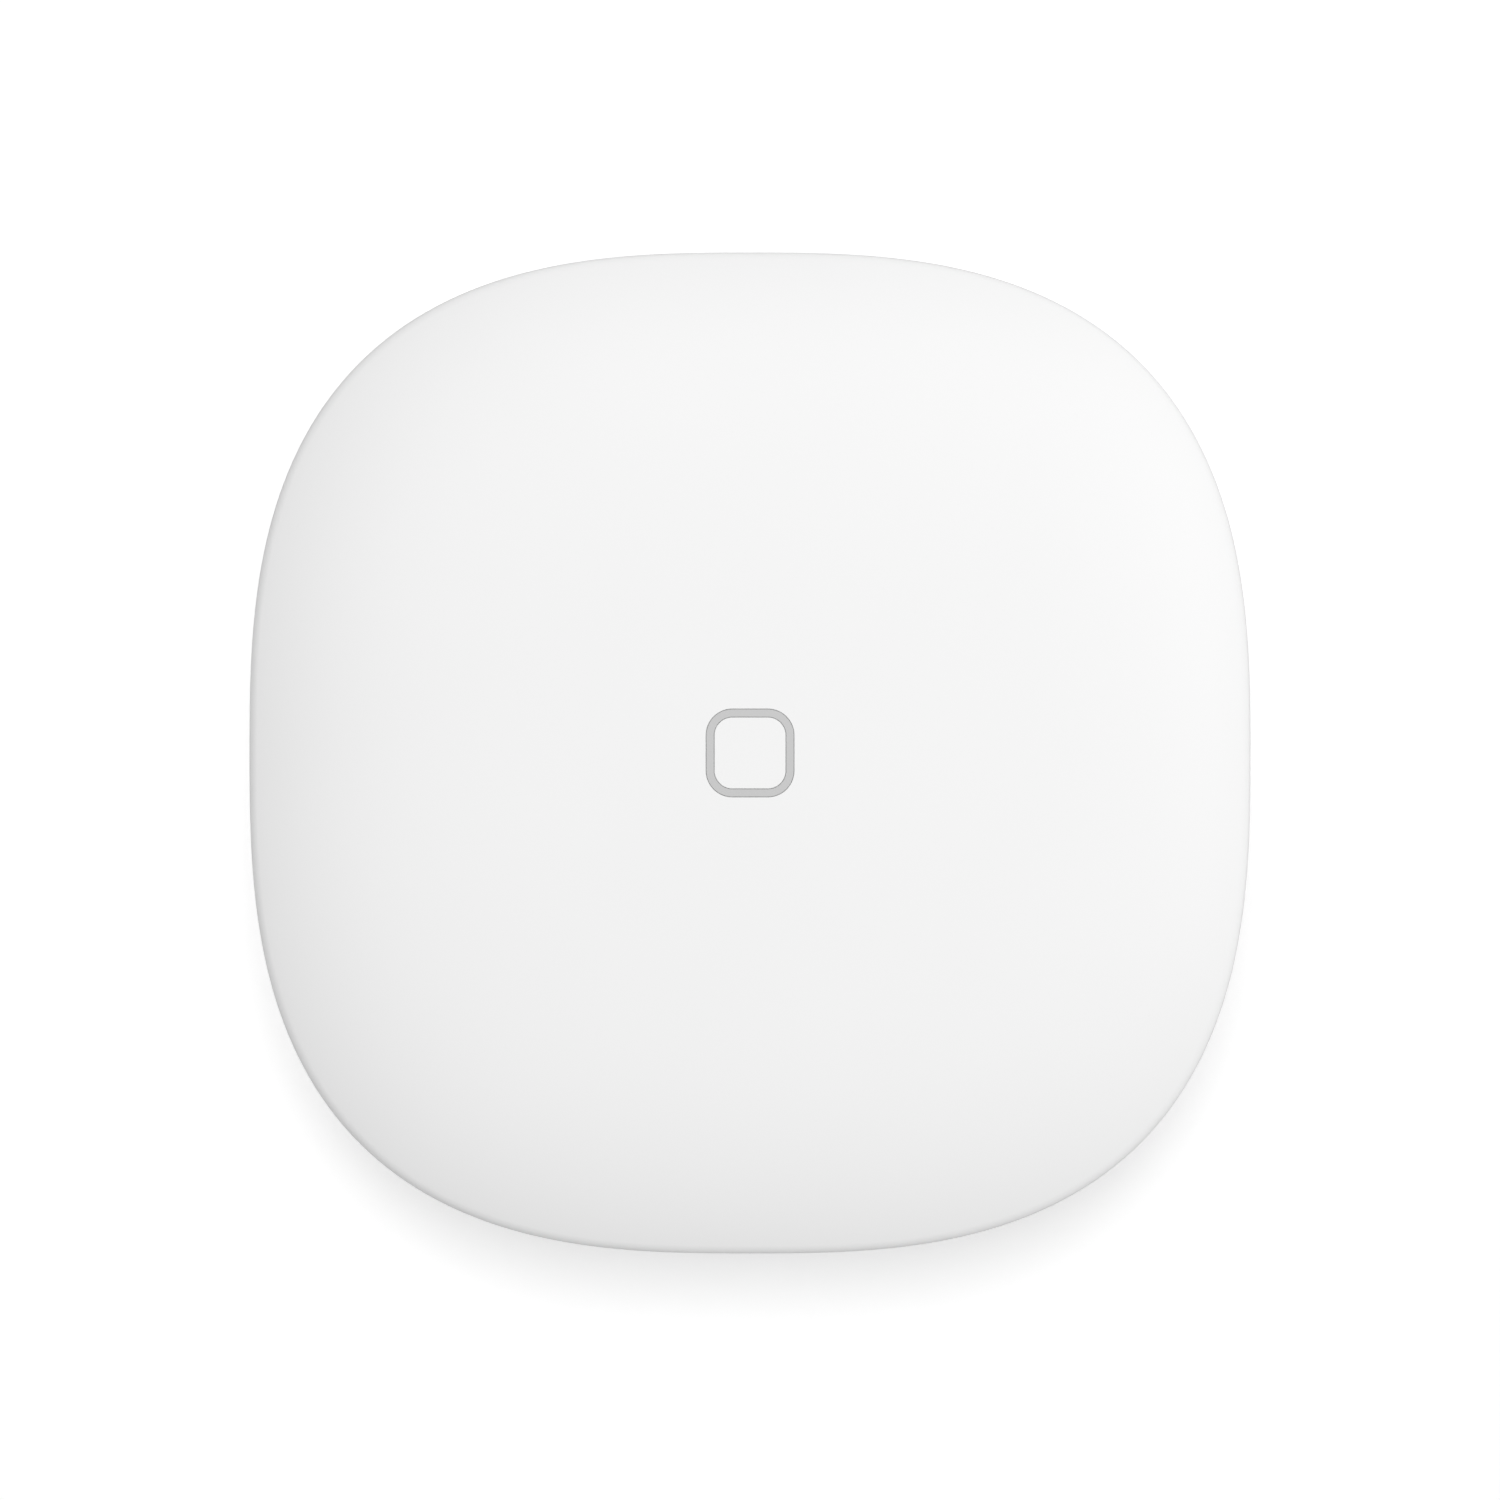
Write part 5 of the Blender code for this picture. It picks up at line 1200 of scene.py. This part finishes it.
# %% Edges and finishes for the solids that stay
BEVELS = dict(
    main_board=0.12, ethernet_shield=0.15, ethernet_body=0.12, light_shroud=0.2,
    guide_retainer=0.25, heat_spreader=0.15, thermal_pad=0.3, button_switch=0.08,
    button_plunger=0.2, reset_switch=0.15, capacitor=0.1, power_inductor=0.15,
    ethernet_transformer=0.15,
)
CANS = ("processor_shield", "radio_shield_front", "radio_shield_rear")


def keep_solid(name, node):
    """Gives a solid of the frame its finish and a small bevel."""
    material_slot = node.material_slots[0]
    slot_name = material_slot.material.name.split(".")[0]
    material_slot.material = FINISHES["can_steel" if name in CANS else slot_name]
    weld = node.modifiers.new("weld", "WELD")
    weld.merge_threshold = 0.002 * MM
    bevel = node.modifiers.new("edges", "BEVEL")
    bevel.width = BEVELS.get(name, 0.06) * MM
    bevel.segments, bevel.limit_method, bevel.angle_limit = 2, "ANGLE", math.radians(40)


kept = {name: node for name, node in frame["nodes"].items() if not node.hide_render}
for name, node in kept.items():
    keep_solid(name, node)
print(len(kept), "solids kept:", ", ".join(sorted(kept)))

# %% [markdown]
# ## The studio
#
# A soft lamp above and a little behind the hub draws the short shadow under its near edge. A second lamp on
# the right lights only the hub, so it shapes the dome without a second shadow. The room is pale and brighter
# towards the horizon, and the floor glows a little, which turns it white while the shadow stays soft.

# %% Floor
place = begin("studio_floor")
tooth = noise(place, 0.6 * MM)
surface(
    place,
    Base_Color=blend(noise(place, 0.5), grey(0.90), grey(0.92)),
    Roughness=0.85 + 0.05 * tooth,
    Specular_IOR_Level=0.1,
    Emission_Color=blend(tooth, grey(0.99), grey(1.0)),
    Emission_Strength=0.33,
)
FLOOR_REACH, FLOOR_THICK = 6.0, 0.02
floor = as_piece("floor", turned([(FLOOR_REACH, -FLOOR_THICK), (FLOOR_REACH, 0)], circle, 96))
floor.data.materials.append(FINISHES["studio_floor"])
floor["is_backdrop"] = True

# %% Room light
world = bpy.data.worlds.new("room")
bpy.context.scene.world = world
world.use_nodes = True
sky = world.node_tree
background = sky.nodes["Background"]
place = Wire(sky, sky.nodes.new("ShaderNodeTexCoord").outputs["Generated"])
height = step_up(part_of(place, "Z"), -0.1, 0.75)
sky.links.new(blend(height, grey(0.52), grey(0.34)).socket, background.inputs["Color"])


# %% Lamps
def lamp_at(name, place, size, power):
    """A square lamp that faces the hub."""
    light = bpy.data.lights.new(name, "AREA")
    light.shape, light.size, light.energy = "SQUARE", size, power
    holder = bpy.data.objects.new(name, light)
    holder.location = place
    holder.rotation_mode = "QUATERNION"
    holder.rotation_quaternion = (-Vector(place)).to_track_quat("-Z", "Y")
    bpy.context.scene.collection.objects.link(holder)
    return holder


lamp_at("key", (0.0, 0.22, 1.0), 0.5, 4.8)
side_lamp = lamp_at("side", (0.7, 0.22, 1.0), 0.5, 5.8)
hub = bpy.data.collections.new("hub")
for piece in bpy.context.scene.objects:
    if piece.type == "MESH" and piece != floor:
        hub.objects.link(piece)
side_lamp.light_linking.receiver_collection = hub
bpy.context.scene.view_settings.view_transform = "Standard"

# %% [markdown]
# ## The camera
#
# The hub is seen from straight above through a long lens, so its sides stay hidden and its outline is the
# squircle itself. The camera's height is worked out from how much of the picture the hub should fill at its
# widest ring.

# %% Camera
FILL = 0.6673  # the hub's share of the picture's width
CENTRE_DROP = 0.002  # how far below the picture's middle the hub's middle is, as a share of its height
lens = bpy.data.cameras.new("camera")
lens.lens, lens.sensor_width = 120, 36
picture_width = 2 * HALF / FILL
distance = picture_width * lens.lens / lens.sensor_width
camera = bpy.data.objects.new("camera", lens)
camera.location = (0, CENTRE_DROP * picture_width, EDGE_BASE + distance)
bpy.context.scene.collection.objects.link(camera)
bpy.context.scene.camera = camera
print(f"camera {distance:.3f} m above the rim")

# %% Sizes, and the end
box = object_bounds()
before, after = (*CAD_BOX[0], *CAD_BOX[1]), (*box[0], *box[1])
print("grown by", [round((b - a) / MM, 3) for a, b in zip(before, after)], "mm")
